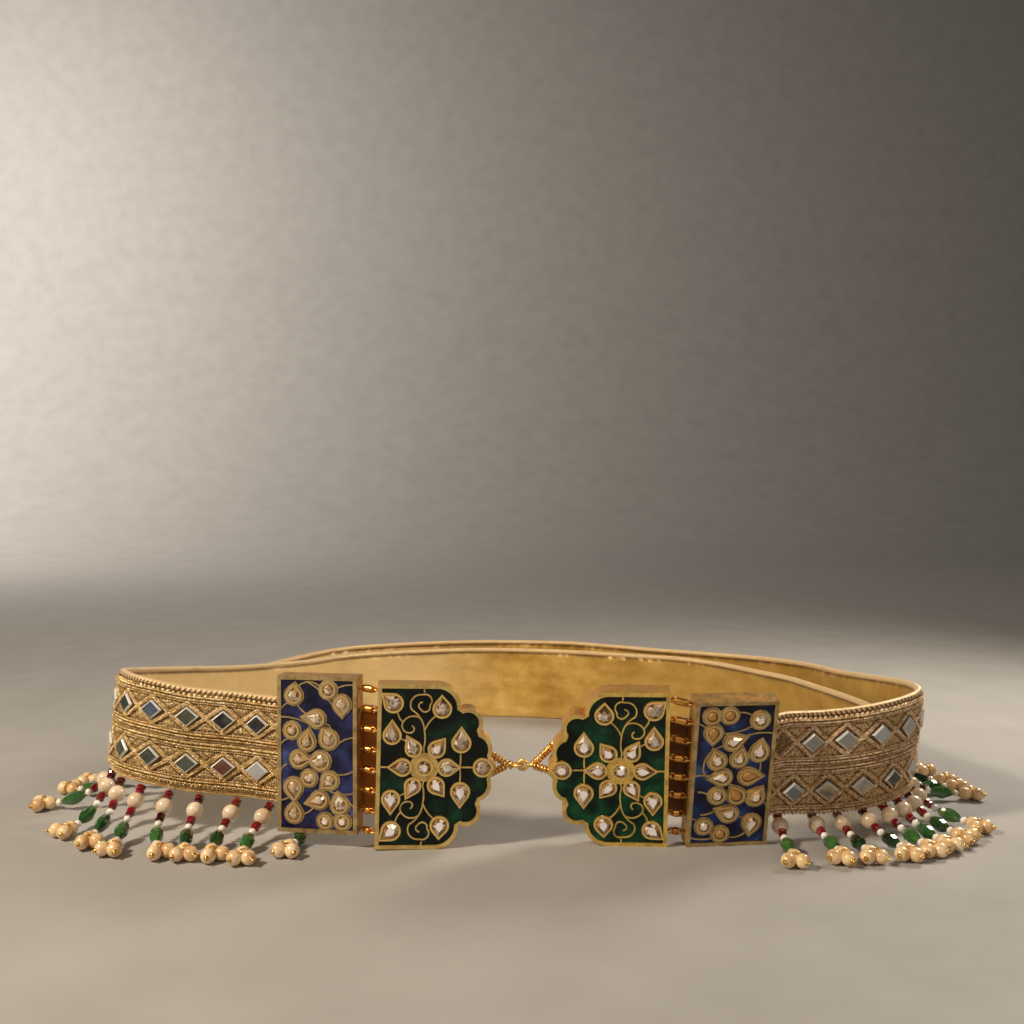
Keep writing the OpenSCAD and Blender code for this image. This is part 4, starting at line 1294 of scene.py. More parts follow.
@dataclass(frozen=True)
class Lamp:
    """A soft round light, with its place and target in metres and its power in watts."""

    name: str
    at: tuple[float, float, float]
    target: tuple[float, float, float]
    size: float
    power: float
    colour: Colour

    def place(self) -> None:
        """Adds the light to the scene."""
        data = bpy.data.lights.new(self.name, "AREA")
        data.shape = "DISK"
        data.size = self.size
        data.energy = self.power
        data.color = self.colour
        light = add_object(self.name, data)
        light.location = self.at
        aim = Vector(self.target) - Vector(self.at)
        light.rotation_euler = aim.to_track_quat("-Z", "Y").to_euler()


BELT_FRONT = (0.0, -0.05, 0.03)
LAMPS = (
    Lamp("key", (-0.58, -0.44, 0.60), BELT_FRONT, 0.11, 7.5, (1.0, 0.86, 0.68)),
    Lamp("front_fill", (0.0, -1.3, 0.9), BELT_FRONT, 0.8, 1.6, (1.0, 0.90, 0.78)),
    Lamp("right_accent", (0.48, -0.8, 0.5), (0.13, -0.1, 0.02), 0.16, 0.9, (1.0, 0.91, 0.80)),
    Lamp("inner_fill", (0.42, 0.16, 0.36), (-0.16, -0.04, 0.04), 0.2, 2.3, (1.0, 0.90, 0.76)),
    Lamp("back_wash", (-1.7, 1.0, 1.1), (-1.2, 2.2, 0.6), 0.8, 41.0, (1.0, 0.92, 0.84)),
)


@dataclass
class Studio:
    """Camera, lights, floor and backdrop."""

    camera_at: tuple[float, float, float] = (-2.0, -525.0, 132.7)
    image_width: int = 1024
    focal_pixels: float = 1073.0
    horizon_row: float = 494.0
    sensor: float = 36.0
    sky: Colour = (0.048, 0.046, 0.043)

    def place_camera(self) -> None:
        """Puts the camera where the photograph was taken from."""
        data = bpy.data.cameras.new("photo_camera")
        data.sensor_width = self.sensor
        data.lens = self.sensor * self.focal_pixels / self.image_width
        data.clip_start = 0.01
        data.clip_end = 20.0
        camera = add_object("photo_camera", data)
        camera.location = Vector(self.camera_at) * MM
        pitch = math.atan((self.image_width / 2 - self.horizon_row) / self.focal_pixels)
        camera.rotation_euler = (math.pi / 2 - pitch, 0, 0)
        bpy.context.scene.camera = camera

    def build(self) -> None:
        """Makes the whole studio."""
        self.place_camera()
        for lamp in LAMPS:
            lamp.place()
        bpy.context.scene.view_settings.view_transform = "Standard"
        world = bpy.data.worlds.new("studio_world")
        bpy.context.scene.world = world
        world.use_nodes = True
        background = next(n for n in world.node_tree.nodes if n.type == "BACKGROUND")
        background.inputs["Color"].default_value = (*self.sky, 1.0)
        background.inputs["Strength"].default_value = 1.0
        floor = make_object("studio_floor", *self.sweep(), (FLOOR,))

    @staticmethod
    def sweep() -> tuple[np.ndarray, list[tuple[int, ...]]]:
        """A floor that curves up into a backdrop, in millimetres."""
        wide, near, far, bend, high = 4000.0, -2500.0, 1500.0, 900.0, 2600.0
        line = [(near, 0.0), (far, 0.0)]
        for k in range(1, 13):
            a = math.radians(7.5 * k)
            line.append((far + bend * math.sin(a), bend * (1 - math.cos(a))))
        line.append((far + bend, high))
        points = [(x, y, z) for y, z in line for x in (-wide, wide)]
        faces = [(2 * i, 2 * i + 1, 2 * i + 3, 2 * i + 2) for i in range(len(line) - 1)]
        return np.array(points), faces


@dataclass
class Band:
    """One brocade band: padded cloth with a piping along its top edge."""

    name: str
    node: str
    route: Route
    trim_start: float
    seed: int
    start: float = 0.0
    step: float = 1.5
    face_points: int = 15
    piping_points: int = 11
    hem: float = 0.7
    high_seam: float = 37.4
    low_seam: float = 3.0
    stitch: float = 4.6

    def section(self) -> tuple[np.ndarray, np.ndarray, np.ndarray]:
        """The band's outline.

        Returns:
            u and v of each corner, and the side it is on: 1 front, -1 back and 0 piping.
        """
        half = BAND_THICKNESS / 2
        neck = BAND_HEIGHT - PIPING_HEIGHT + 0.15
        rise = np.linspace(self.hem, neck, self.face_points)
        centre = BAND_HEIGHT - PIPING_HEIGHT / 2 - 0.05
        angles = np.radians(np.linspace(-52, 232, self.piping_points))
        round_u = PIPING_THICKNESS / 2 * np.cos(angles)
        round_v = centre + (BAND_HEIGHT - centre) * np.sin(angles)
        fold = np.radians(np.array([-150.0, -90.0, -30.0]))
        u = np.concatenate([np.full(self.face_points, half), round_u,
                            np.full(self.face_points, -half), half * np.cos(fold)])
        v = np.concatenate([rise, round_v, rise[::-1], self.hem + self.hem * np.sin(fold)])
        side = np.concatenate([np.ones(self.face_points), np.zeros(self.piping_points),
                               -np.ones(self.face_points), np.full(3, 2.0)])
        return u, v, side

    def build(self) -> bpy.types.Object:
        """Makes the band with its seams and puckers, and dresses it.

        Returns:
            The finished piece.
        """
        stops = np.linspace(self.start, self.route.length, int(self.route.length / self.step))
        u, v, side = self.section()
        s_grid, v_grid = np.meshgrid(stops, v, indexing="ij")
        u_grid = np.broadcast_to(u, s_grid.shape).copy()
        cloth = np.abs(side) == 1
        sink = self.puckers(s_grid, v_grid)
        u_grid[:, cloth] -= (np.sign(u_grid) * sink)[:, cloth]
        swell = 0.08 * ripple(s_grid / 9, v_grid * 0, self.seed + 5)
        piping = side == 0
        u_grid[:, piping] *= (0.96 + swell)[:, piping].clip(0.85, 1.0)
        points = self.route.place(s_grid, u_grid, v_grid).reshape(-1, 3)
        corners = len(u)
        made = make_object(self.name, points, tube_faces(len(stops), corners),
                           (LINING, PIPING, BACKING_AND_SHADE, PIPING_FRONT))
        first = self.face_points
        last = first + self.piping_points - 1
        for face in made.data.polygons[:(len(stops) - 1) * corners]:
            ring, k = divmod(face.vertices[0], corners)
            if first <= k < last:
                face.material_index = 3 if k < first + self.piping_points // 2 else 1
            # The front behind the plates wears the copper backing, darkened with painted shade.
            elif k < first and stops[ring] < self.trim_start:
                face.material_index = 2
        give_cloth_map(made, s_grid.ravel(), v_grid.ravel())
        face_outwards(made)
        return made

    def puckers(self, s: np.ndarray, v: np.ndarray) -> np.ndarray:
        """How far the cloth sinks in at its seams and between its stitches."""
        under = dip(v, self.high_seam, 0.7) * 0.26
        low = dip(v, self.low_seam, 0.6) * 0.2
        from_piping = np.abs(BAND_HEIGHT - PIPING_HEIGHT - v)
        reach = np.exp(-from_piping / 5.0) + 0.6 * np.exp(-np.abs(v) / 4.0)
        drift = 2 * ripple(s / 60, v * 0, 3)
        pull = 0.10 * reach * (1 + np.sin(2 * math.pi * s / self.stitch + drift))
        belly = np.sin(math.pi * v / BAND_HEIGHT).clip(0, 1)
        slow = 0.22 * (1 + ripple(s / 70, v / 60, self.seed)) * belly
        return (under + low + pull + slow).clip(0, 0.75)

    def declare(self) -> bpy.types.Object:
        """Returns:
            The finished piece.
        """
        made = self.build()
        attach(made, ROOT)
        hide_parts(self.node)
        length = self.route.length - self.start
        length * MM
        return made


@dataclass
class TrimStrip:
    """One metal-thread trim sewn along a band: relief of lozenges round the mirrors."""

    layout: TrimLayout
    level: int
    finish: Finish
    seed: int
    fine_until: float = 250.0
    fine: float = 0.5
    coarse: float = 1.0
    rows: int = 42
    cord: float = 0.9
    groove: float = 1.2
    border: float = 2.7
    clearance: float = 0.08
    tuck: float = 0.25

    def stops(self) -> np.ndarray:
        """Distances along the band where the strip has a ring."""
        start, end = self.layout.start, self.layout.end
        split = min(self.fine_until, end)
        near = np.linspace(start, split, int((split - start) / self.fine))
        if split >= end:
            return near
        far = np.linspace(split, end, int((end - split) / self.coarse))
        return np.concatenate([near, far[1:]])

    def relief(self, s: np.ndarray, w: np.ndarray) -> np.ndarray:
        """Height of the relief above the strip's ground.

        Args:
            s: Distance along the band.
            w: Height above the strip's bottom edge.

        Returns:
            Height in millimetres, of about -0.3 to 0.55.
        """
        ds = self.layout.from_mirror(s, self.level)
        dw = np.abs(w - self.layout.height / 2)
        wide, high = MIRROR_PITCH / 2, self.layout.rise
        scale = 1 / math.hypot(1 / wide, 1 / high)
        off = (ds / wide + dw / high - 1) * scale
        height = 0.22 * np.sqrt((1 - (off / self.cord) ** 2).clip(0, 1))
        height -= 0.18 * dip(np.abs(off), self.groove, 0.3)
        outside = np.clip((off - self.groove) / 0.8, 0, 1)
        grain = np.sin(2 * math.pi * (s + 0.5 * np.floor(w / 1.1)) / 1.25) * np.sin(
            2 * math.pi * w / 2.2)
        height += outside * (0.16 + 0.16 * grain + 0.08 * ripple(s / 1.7, w / 1.7, self.seed))
        height -= 0.12 * np.clip((-self.groove - off) / 0.5, 0, 1)
        edge = np.minimum(w, self.layout.height - w)
        border = np.clip((self.border - edge) / 0.3, 0, 1)
        height = height * (1 - border) + 0.1 * border
        height -= 0.25 * dip(edge, self.border / 2, 0.2) + 0.30 * dip(edge, self.border + 0.8, 0.3)
        height += 0.03 * ripple(s / 3.1, w / 3.1, self.seed + 1)
        return height

    def build(self) -> bpy.types.Object:
        """Makes the strip with its relief, and dresses it.

        Returns:
            The finished piece.
        """
        stops = self.stops()
        tall = self.layout.height
        w = np.linspace(0, tall, self.rows)
        s_grid, w_grid = np.meshgrid(stops, w, indexing="ij")
        height = self.relief(s_grid, w_grid)
        front = TRIM_BACK + TRIM_BASE + height
        front = np.minimum(front, MIRROR_BACK - self.clearance + 0.35 * (height > 0.3))
        ends = np.minimum(w, tall - w).clip(0, 0.4) / 0.4
        front = TRIM_BACK + (front - TRIM_BACK) * (self.tuck + (1 - self.tuck) * np.sqrt(ends))
        back_w = np.linspace(tall, 0, 8)
        s_back, w_back = np.meshgrid(stops, back_w, indexing="ij")
        s_all = np.concatenate([s_grid, s_back], 1)
        w_all = np.concatenate([w_grid, w_back], 1)
        u_all = np.concatenate([front, np.full(s_back.shape, TRIM_BACK)], 1)
        foot = self.layout.feet[self.level]
        points = self.layout.route.place(s_all, u_all, foot + w_all).reshape(-1, 3)
        name = f"{self.layout.side}_braid_{('lower', 'upper')[self.level]}"
        made = make_object(name, points, tube_faces(len(stops), s_all.shape[1]), (self.finish,))
        give_cloth_map(made, s_all.ravel(), w_all.ravel())
        tone = np.concatenate([(height + 0.3) / 0.85, np.zeros(s_back.shape)], 1)
        give_values(made.data, "relief", "FLOAT", tone.clip(0, 1))
        face_outwards(made)
        return made

    def declare(self) -> bpy.types.Object:
        """Returns:
            The finished piece.
        """
        made = self.build()
        side = self.layout.side
        length = self.layout.end - self.layout.start
        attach(made, ROOT)
        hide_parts(f"{side}_trim_{('lower', 'upper')[self.level]}")
        length * MM
        self.layout.height * MM
        return made


class RowKind(Enum):
    """Kinds of grain row on a trim: along, across, proud, slant, pitch and wobble."""

    CORD = (1.45, 0.85, 0.95, 0.55, 0.98, 0.10)
    FINE = (1.05, 0.52, 0.60, 0.40, 0.86, 0.08)
    PLAIT = (1.30, 0.72, 0.90, 0.65, 0.88, 0.10)
    LOOP = (1.75, 1.70, 1.00, 0.0, 2.20, 0.08)
    PICOT = (1.35, 1.35, 1.20, 0.0, 1.62, 0.16)


@dataclass
class TrimRows:
    """The cords, plaits, loops and edge beads that lie on a band's two trims."""

    layout: TrimLayout
    finish: Finish
    seed: int
    top: float = TRIM_BACK + TRIM_BASE

    def courses(self, kind: RowKind, stops: np.ndarray) -> list[tuple[np.ndarray, float, int]]:
        """Where the rows of one kind run.

        Args:
            kind: The kind of row.
            stops: Distances along the band where the rows have a point.

        Returns:
            Heights, outward distance and way of slant of each row.
        """
        level = np.zeros_like(stops)
        tall = self.layout.height
        feet = self.layout.feet
        if kind is RowKind.CORD:
            return [(level + foot + e, self.top + 0.40, way) for foot in feet for e, way in
                    ((0.75, 1), (1.95, -1), (tall - 1.95, 1), (tall - 0.75, -1))]
        if kind is RowKind.FINE:
            rows = [(level + foot + e, self.top + 0.22, 1) for foot in feet
                    for e in (2.9, tall - 2.9)]
            hem = [(level + v, BAND_THICKNESS / 2 + 0.25, -1) for v in (0.9, 1.75, 2.6)]
            rows += hem if feet[0] > 2 else []
            return rows + [(level + feet[1] - TRIM_SPACE / 2, self.top - 0.1, 1)]
        if kind is RowKind.PLAIT:
            return self.plaits(stops)
        if kind is RowKind.LOOP:
            return [(level + feet[1] + tall - 0.15, self.top + 0.1, 0)]
        return [(level + self.layout.foot + 0.1, self.top + 0.1, 0)]

    def plaits(self, stops: np.ndarray) -> list[tuple[np.ndarray, float, int]]:
        """The rows of the two-strand plaits round the mirrors, as courses gives them."""
        rows = []
        for number, foot in enumerate(self.layout.feet):
            middle = foot + self.layout.height / 2
            share = 1 - self.layout.from_mirror(stops, number) / (MIRROR_PITCH / 2)
            for shift, way in ((-0.42, 1), (0.42, -1)):
                rise = self.layout.rise * share + shift
                rows.append((middle + rise, self.top + 0.35, way))
                rows.append((middle - rise, self.top + 0.35, -way))
        return rows

    def build(self, recipe: NodeRecipe) -> list[bpy.types.Object]:
        """Makes one piece for each kind of row.

        Args:
            recipe: The grain rows' recipe.

        Returns:
            The finished pieces.
        """
        made = []
        route = self.layout.route
        for kind in RowKind:
            along, across, proud, slant, pitch, wobble = kind.value
            step = MIRROR_PITCH / (16 if kind is RowKind.PLAIT else 10)
            stops = np.arange(self.layout.start + 0.6, self.layout.end - 0.4, step)
            rows = self.courses(kind, stops)
            piece = guide_lines(f"{self.layout.side}_trim_{kind.name.lower()}s",
                                [route.place(stops, u, v) for v, u, _ in rows],
                                [route.outward(stops) for _ in rows])
            give_values(piece.data, "slant", "FLOAT",
                        np.repeat([slant * way for _, _, way in rows], len(stops)))
            recipe.grow(piece, self.finish, {
                "Pitch": pitch * MM, "Along": along * MM, "Across": across * MM,
                "Proud": proud * MM, "Wobble": wobble, "Seed": self.seed})
            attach(piece, ROOT)
            made.append(piece)
        return made


class Sight(Enum):
    """What a small mirror is seen to mirror, as a tone."""

    NIGHT = (0.010, 0.011, 0.012)
    SLATE = (0.035, 0.045, 0.038)
    MOSS = (0.070, 0.080, 0.050)
    SKY = (0.12, 0.17, 0.26)
    BRICK = (0.15, 0.045, 0.030)
    MIST = (0.50, 0.52, 0.53)
    STONE = (0.33, 0.33, 0.30)
    BRIGHT = (0.92, 0.91, 0.84)


@dataclass
class MirrorRow:
    """A row of bevelled diamond mirrors along a trim."""

    name: str
    node: Optional[str]
    route: Route
    start: float
    height: float
    sights: tuple[Sight, ...]
    count: int

    def tile(self, s: float) -> np.ndarray:
        """Corners of one mirror in the frame, ring by ring from its back to its table.

        Args:
            s: Distance of its middle along the band.

        Returns:
            Its points: four rings of four corners.
        """
        where = np.array([s])
        outward, up = self.route.outward(where)[0], self.route.upward(where)[0]
        side = np.cross(up, outward)
        middle = self.route.place(s, 0, self.height)
        inner = 1 - 2 * MIRROR_BEVEL / MIRROR_WIDTH
        points = []
        for depth, share in ((0.0, 1.0), (MIRROR_DEPTH / 2, 1.0), (MIRROR_DEPTH, inner),
                             (MIRROR_DEPTH, inner - 0.02)):
            for across, rise in ((1, 0), (0, 1), (-1, 0), (0, -1)):
                points.append(middle + outward * (MIRROR_BACK + depth)
                              + side * across * share * MIRROR_WIDTH / 2
                              + up * rise * share * MIRROR_HEIGHT / 2)
        return np.array(points)

    def declare(self) -> bpy.types.Object:
        """Returns:
            The finished piece.
        """
        box = tube_faces(4, 4)
        parts = [(self.tile(self.start + i * MIRROR_PITCH), box) for i in range(self.count)]
        made = make_object(self.name, *gathered(parts), (MIRROR, MIRROR_EDGE), False)
        slots = ([1] * (len(box) - 1) + [0]) * self.count
        made.data.polygons.foreach_set("material_index", slots)
        tones = []
        for i in range(self.count):
            sight = self.sights[min(i, len(self.sights) - 1)].value
            tones += [(*Sight.BRIGHT.value, 1.0)] * 12 + [(*sight, 1.0)] * 4
        give_values(made.data, "sight", "FLOAT_COLOR", tones)
        face_outwards(made)
        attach(made, ROOT)
        if self.node is not None:
            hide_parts(self.node)
        return made


@dataclass(frozen=True)
class Strand:
    """One strand of the fringe, from the band's bottom edge out over the floor."""

    route: Route
    row: tuple[float, ...]
    points: np.ndarray = field(init=False)
    runs: np.ndarray = field(init=False)

    def __post_init__(self) -> None:
        """Works out the strand's curve, as the part's source does."""
        s, turn, bow = self.row[:3]
        back, fall = (self.row[4], self.row[5]) if len(self.row) > 4 else (0.0, STRAND_FALL)
        start = self.route.place(s, 0, -0.5)
        n = self.route.out(np.array([s]))[0]
        t = self.route.along(np.array([s]))[0]
        a = math.radians(turn)
        ahead = n * math.cos(a) + t * math.sin(a)
        aside = t * math.cos(a) - n * math.sin(a)
        f = (np.arange(STRAND_STEPS + 1) / STRAND_STEPS)[:, None]
        plan = (ahead * STRAND_REACH * f + aside * bow * 4 * f * (1 - f)
                - n * back * BACK_SHARE * f * (1 - f) ** 2)
        height = STRAND_REST + (start[2] - STRAND_REST) * (1 - f) ** fall
        table = np.concatenate([start[:2] + plan, height], 1)
        object.__setattr__(self, "points", table)
        object.__setattr__(self, "runs", runs_along(table))

    def at(self, distance: float) -> np.ndarray:
        """A point of the strand."""
        return np.array([np.interp(distance, self.runs, self.points[:, c]) for c in range(3)])

    def chord(self, distance: float, half: float) -> tuple[np.ndarray, np.ndarray]:
        """Where a bead of that half length sits, and its direction.

        Args:
            distance: Distance along the strand.
            half: Half the bead's length.

        Returns:
            The bead's middle and its unit direction.
        """
        a, b = self.at(distance - half), self.at(distance + half)
        return (a + b) / 2, (b - a) / np.linalg.norm(b - a)


class Bead(Enum):
    """Bead shapes: radius and height pairs in units of the bead, sides, and if it is smooth."""

    ROUND = (tuple((math.cos(a), math.sin(a)) for a in np.linspace(-math.pi / 2, math.pi / 2, 13)),
             22, True)
    RONDELLE = (((0, -1), (0.78, -1), (1, -0.5), (1, 0.5), (0.78, 1), (0, 1)), 10, False)
    BARREL = (((0, -1), (0.42, -1), (0.80, -0.62), (1, -0.2), (1, 0.22), (0.78, 0.64),
               (0.42, 1), (0, 1)), 8, False)
    CAP = (((0, -1), (0.95, -0.9), (1, -0.4), (0.8, 0.2), (0.45, 0.7), (0.3, 1), (0, 1.1)),
           10, True)


class BeadKind(Enum):
    """What hangs on a strand: its shape and finish, its CAD node and its material slot."""

    PEARLS = (Bead.ROUND, IVORY_PEARL, "pearls", "pearl")
    DROPS = (Bead.BARREL, BOTTLE_GREEN, "drops", "green_glass")
    RUBIES = (Bead.RONDELLE, RUBY, None, None)
    SEEDS = (Bead.ROUND, SEED, None, "pearl")
    CLUSTERS = (Bead.ROUND, CREAM_PEARL, "clusters", "pearl")
    CAPS = (Bead.CAP, WIRE, None, "gilt_metal")


@dataclass
class BeadString:
    """Beads of one kind, gathered from all strands of a side."""

    side: str
    kind: BeadKind
    spots: list[np.ndarray] = field(default_factory=list)
    headings: list[np.ndarray] = field(default_factory=list)
    sizes: list[tuple[float, float, float]] = field(default_factory=list)

    def add(self, spot: np.ndarray, heading: np.ndarray, radius: float,
            half: Optional[float] = None) -> None:
        """Adds one bead.

        Args:
            spot: Its middle, in millimetres.
            heading: The thread's unit direction through it.
            radius: Its radius.
            half: Half its length, or its radius if it is round.
        """
        self.spots.append(spot)
        self.headings.append(heading)
        self.sizes.append((radius, radius, radius if half is None else half))

    def declare(self, recipes: Mapping[bool, NodeRecipe], seed: int) -> bpy.types.Object:
        """Args:
            recipes: The strung beads' recipes, for smooth and for faceted ones.
            seed: Seed of the beads' turns about the thread.

        Returns:
            The finished piece.
        """
        shape, finish, node, slot = self.kind.value
        profile, sides, smooth = shape.value
        name = f"{self.side}_fringe_{self.kind.name.lower()}"
        points, faces = lathe(profile, sides)
        bead = make_object(name + "_bead", points / MM, faces, (), smooth)
        face_outwards(bead)
        guide = make_guide(name, np.array(self.spots), [], {
            "outward": self.headings, "size": np.array(self.sizes, np.float32) * MM})
        recipes[smooth].grow(guide, finish, {"Bead": bead, "Twist": math.pi, "Seed": seed})
        bpy.data.objects.remove(bead)
        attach(guide, ROOT)
        if node is not None:
            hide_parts(f"{self.side}_{node}")
        return guide


@dataclass
class Fringe:
    """The beaded fringe of one side.

    Distances run along a strand. Each ruby has its distance and radius, and each kind of cap
    its radius and half its height.
    """

    side: str
    route: Route
    rows: tuple[tuple[float, ...], ...]
    seed: int
    ruby_at: tuple[tuple[float, float], ...] = ((1.38, 1.78), (3.02, 1.74), (11.4, 1.70),
                                                (13.0, 1.62))
    ruby_half: float = 0.8
    pearl_at: float = 7.2
    seed_at: tuple[float, float] = (15.4, 28.3)
    drop_at: float = 22.0
    splay: float = 30.0
    end_cap: tuple[float, float] = (0.95, 0.5)
    pin_head: tuple[float, float] = (0.42, 0.42)
    top_cap: tuple[float, float] = (1.15, 0.5)

    def build(self, recipes: Mapping[bool, NodeRecipe]) -> list[bpy.types.Object]:
        """Makes all beads and threads of the side.

        Args:
            recipes: The strung beads' recipes, for smooth and for faceted ones.

        Returns:
            The finished pieces.
        """
        strands = [Strand(self.route, row) for row in self.rows]
        random = np.random.RandomState(self.seed)
        beads = {kind: BeadString(self.side, kind) for kind in BeadKind}
        wires: list[np.ndarray] = []
        for strand, row in zip(strands, self.rows):
            beads[BeadKind.PEARLS].add(*strand.chord(self.pearl_at, PEARL_RADIUS), PEARL_RADIUS)
            beads[BeadKind.DROPS].add(*strand.chord(self.drop_at, DROP_LENGTH / 2), DROP_RADIUS,
                                      DROP_LENGTH / 2)
            self.string_rubies(strand, beads[BeadKind.RUBIES], random)
            for distance in self.seed_at:
                beads[BeadKind.SEEDS].add(*strand.chord(distance, SEED_HALF), SEED_RADIUS,
                                          SEED_HALF)
            self.tie_cluster(strand, row[3], beads[BeadKind.CLUSTERS], beads[BeadKind.CAPS],
                             wires, random)
        made = [string.declare(recipes, self.seed) for string in beads.values()]
        made.append(self.tubes("wires", wires, WIRE_RADIUS, WIRE))
        lines = [np.array([s.at(d) for d in np.linspace(0, CLUSTER_AT, 40)]) for s in strands]
        threads = self.tubes("threads", lines, THREAD_RADIUS, THREAD)
        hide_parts(f"{self.side}_threads")
        return made + [threads]

    def string_rubies(self, strand: Strand, rubies: BeadString,
                      random: np.random.RandomState) -> None:
        """Adds the small ruby beads above and below the pearl."""
        for distance, radius in self.ruby_at:
            rubies.add(*strand.chord(distance, 0.7), radius * random.uniform(0.96, 1.04),
                       self.ruby_half)

    def tie_cluster(self, strand: Strand, turn: float, pearls: BeadString, caps: BeadString,
                    wires: list[np.ndarray], random: np.random.RandomState) -> None:
        """Adds the three pearls at the strand's end, with their caps, pins and wire."""
        middle, heading = strand.chord(CLUSTER_AT, 1.0)
        flat = np.array([heading[0], heading[1], 0.0])
        flat /= np.linalg.norm(flat)
        pearls.add(middle, heading, SMALL_PEARL_RADIUS)
        for angle in (-self.splay, self.splay):
            way = spin("Z", angle + turn) @ flat
            spot = middle + way * SMALL_PEARL_RADIUS * 1.8
            size = SMALL_PEARL_RADIUS * random.uniform(0.96, 1.02)
            pearls.add(spot, way, size)
            caps.add(spot + way * (size + 0.12), way, *self.end_cap)
            caps.add(spot + way * (size + 0.85), way, *self.pin_head)
            wires.append(np.array([spot + way * (size - 0.4), spot + way * (size + 1.1)]))
        caps.add(middle - heading * (SMALL_PEARL_RADIUS + 0.02), -heading, *self.top_cap)
        wires.append(self.loose_loop(middle, flat, random))

    @staticmethod
    def loose_loop(middle: np.ndarray, flat: np.ndarray,
                   random: np.random.RandomState) -> np.ndarray:
        """A loop of wire that ties the pearls together, over their gaps."""
        side = np.array([-flat[1], flat[0], 0.0])
        centre = middle + flat * SMALL_PEARL_RADIUS * 0.95
        reach = SMALL_PEARL_RADIUS * 0.92
        tilt = random.uniform(-0.3, 0.3)
        a = np.linspace(0, 2 * math.pi, 17)[:, None]
        upright = np.array([0.0, 0.0, 1.0])
        return (centre + side * reach * np.cos(a) + upright * reach * np.sin(a)
                + flat * tilt * np.sin(2 * a))

    def tubes(self, name: str, lines: Sequence[np.ndarray], radius: float, finish: Finish) -> bpy.types.Object:
        """Makes round tubes along lines as one piece.

        Args:
            name: The end of the piece's name.
            lines: Points of each line, in millimetres.
            radius: The tubes' radius.
            finish: Their finish.

        Returns:
            The finished piece.
        """
        parts = [(tube_points(line, radius, 6), tube_faces(len(line), 6)) for line in lines]
        made = make_object(f"{self.side}_fringe_{name}", *gathered(parts), (finish,))
        face_outwards(made)
        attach(made, ROOT)
        return made


def tube_points(line: np.ndarray, radius: float, sides: int) -> np.ndarray:
    """Rings of points round a line.

    Args:
        line: The line's points, in millimetres.
        radius: The tube's radius.
        sides: Points of each ring.

    Returns:
        The rings' points in order.
    """
    heading = np.gradient(line, axis=0)
    heading /= np.linalg.norm(heading, axis=1, keepdims=True)
    guide = np.array([0.0, 0.0, 1.0])
    if np.abs(heading @ guide).max() > 0.9:
        guide = np.array([0.31, 0.95, 0.02])
    first = np.cross(guide, heading)
    first /= np.linalg.norm(first, axis=1, keepdims=True)
    second = np.cross(heading, first)
    angles = 2 * math.pi * np.arange(sides) / sides
    ring = (first[:, None] * np.cos(angles)[None, :, None]
            + second[:, None] * np.sin(angles)[None, :, None])
    return (line[:, None] + radius * ring).reshape(-1, 3)


@dataclass
class Clasp:
    """Fine wire wound round the clasp's arms."""

    coil: float = 1.05
    gauge: float = 0.55
    pitch: float = 1.35

    def arms(self, span: float) -> list[tuple[tuple[float, ...], tuple[float, ...]]]:
        """Start and end of each arm, measured from the left plate's tip towards the right's."""
        return [((-2, 0, 4.4), (4.2, 0, 0.3)), ((-2, 0, -3.4), (4.2, 0, -0.3)),
                ((14.8, 0, 0.6), (span + 1.6, 0.6, 7.2)),
                ((14.8, 0, -0.2), (span + 1.2, 0.4, -2.4))]

    def build(self, recipe: NodeRecipe) -> bpy.types.Object:
        """Makes the windings along the arms.

        Args:
            recipe: The wound wire's recipe.

        Returns:
            The finished piece.
        """
        tip = (PLATE_TIP, PLATE_DEPTH / 2, PLATE_HEIGHT / 2)
        left, right = LEFT_GREEN.placed(tip), RIGHT_GREEN.placed(tip)
        ahead = right - left
        span = float(np.linalg.norm(ahead))
        rise = -math.degrees(math.asin(ahead[2] / span))
        yaw = math.degrees(math.atan2(ahead[1], ahead[0]))
        turn = spin("Z", yaw) @ spin("Y", rise)
        lines, facing = [], []
        for a, b in self.arms(span):
            start, end = left + turn @ np.array(a, float), left + turn @ np.array(b, float)
            line = np.linspace(start, end, 5)
            across = np.cross(end - start, [0.0, 1.0, 0.0])
            across /= np.linalg.norm(across)
            lines.append(line)
            facing.append(np.repeat(across[None], 5, 0))
        made = guide_lines("clasp_windings", lines, facing)
        recipe.grow(made, WIRE, {"Coil": self.coil * MM, "Gauge": self.gauge * MM,
                                 "Pitch": self.pitch * MM})
        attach(made, ROOT)
        return made


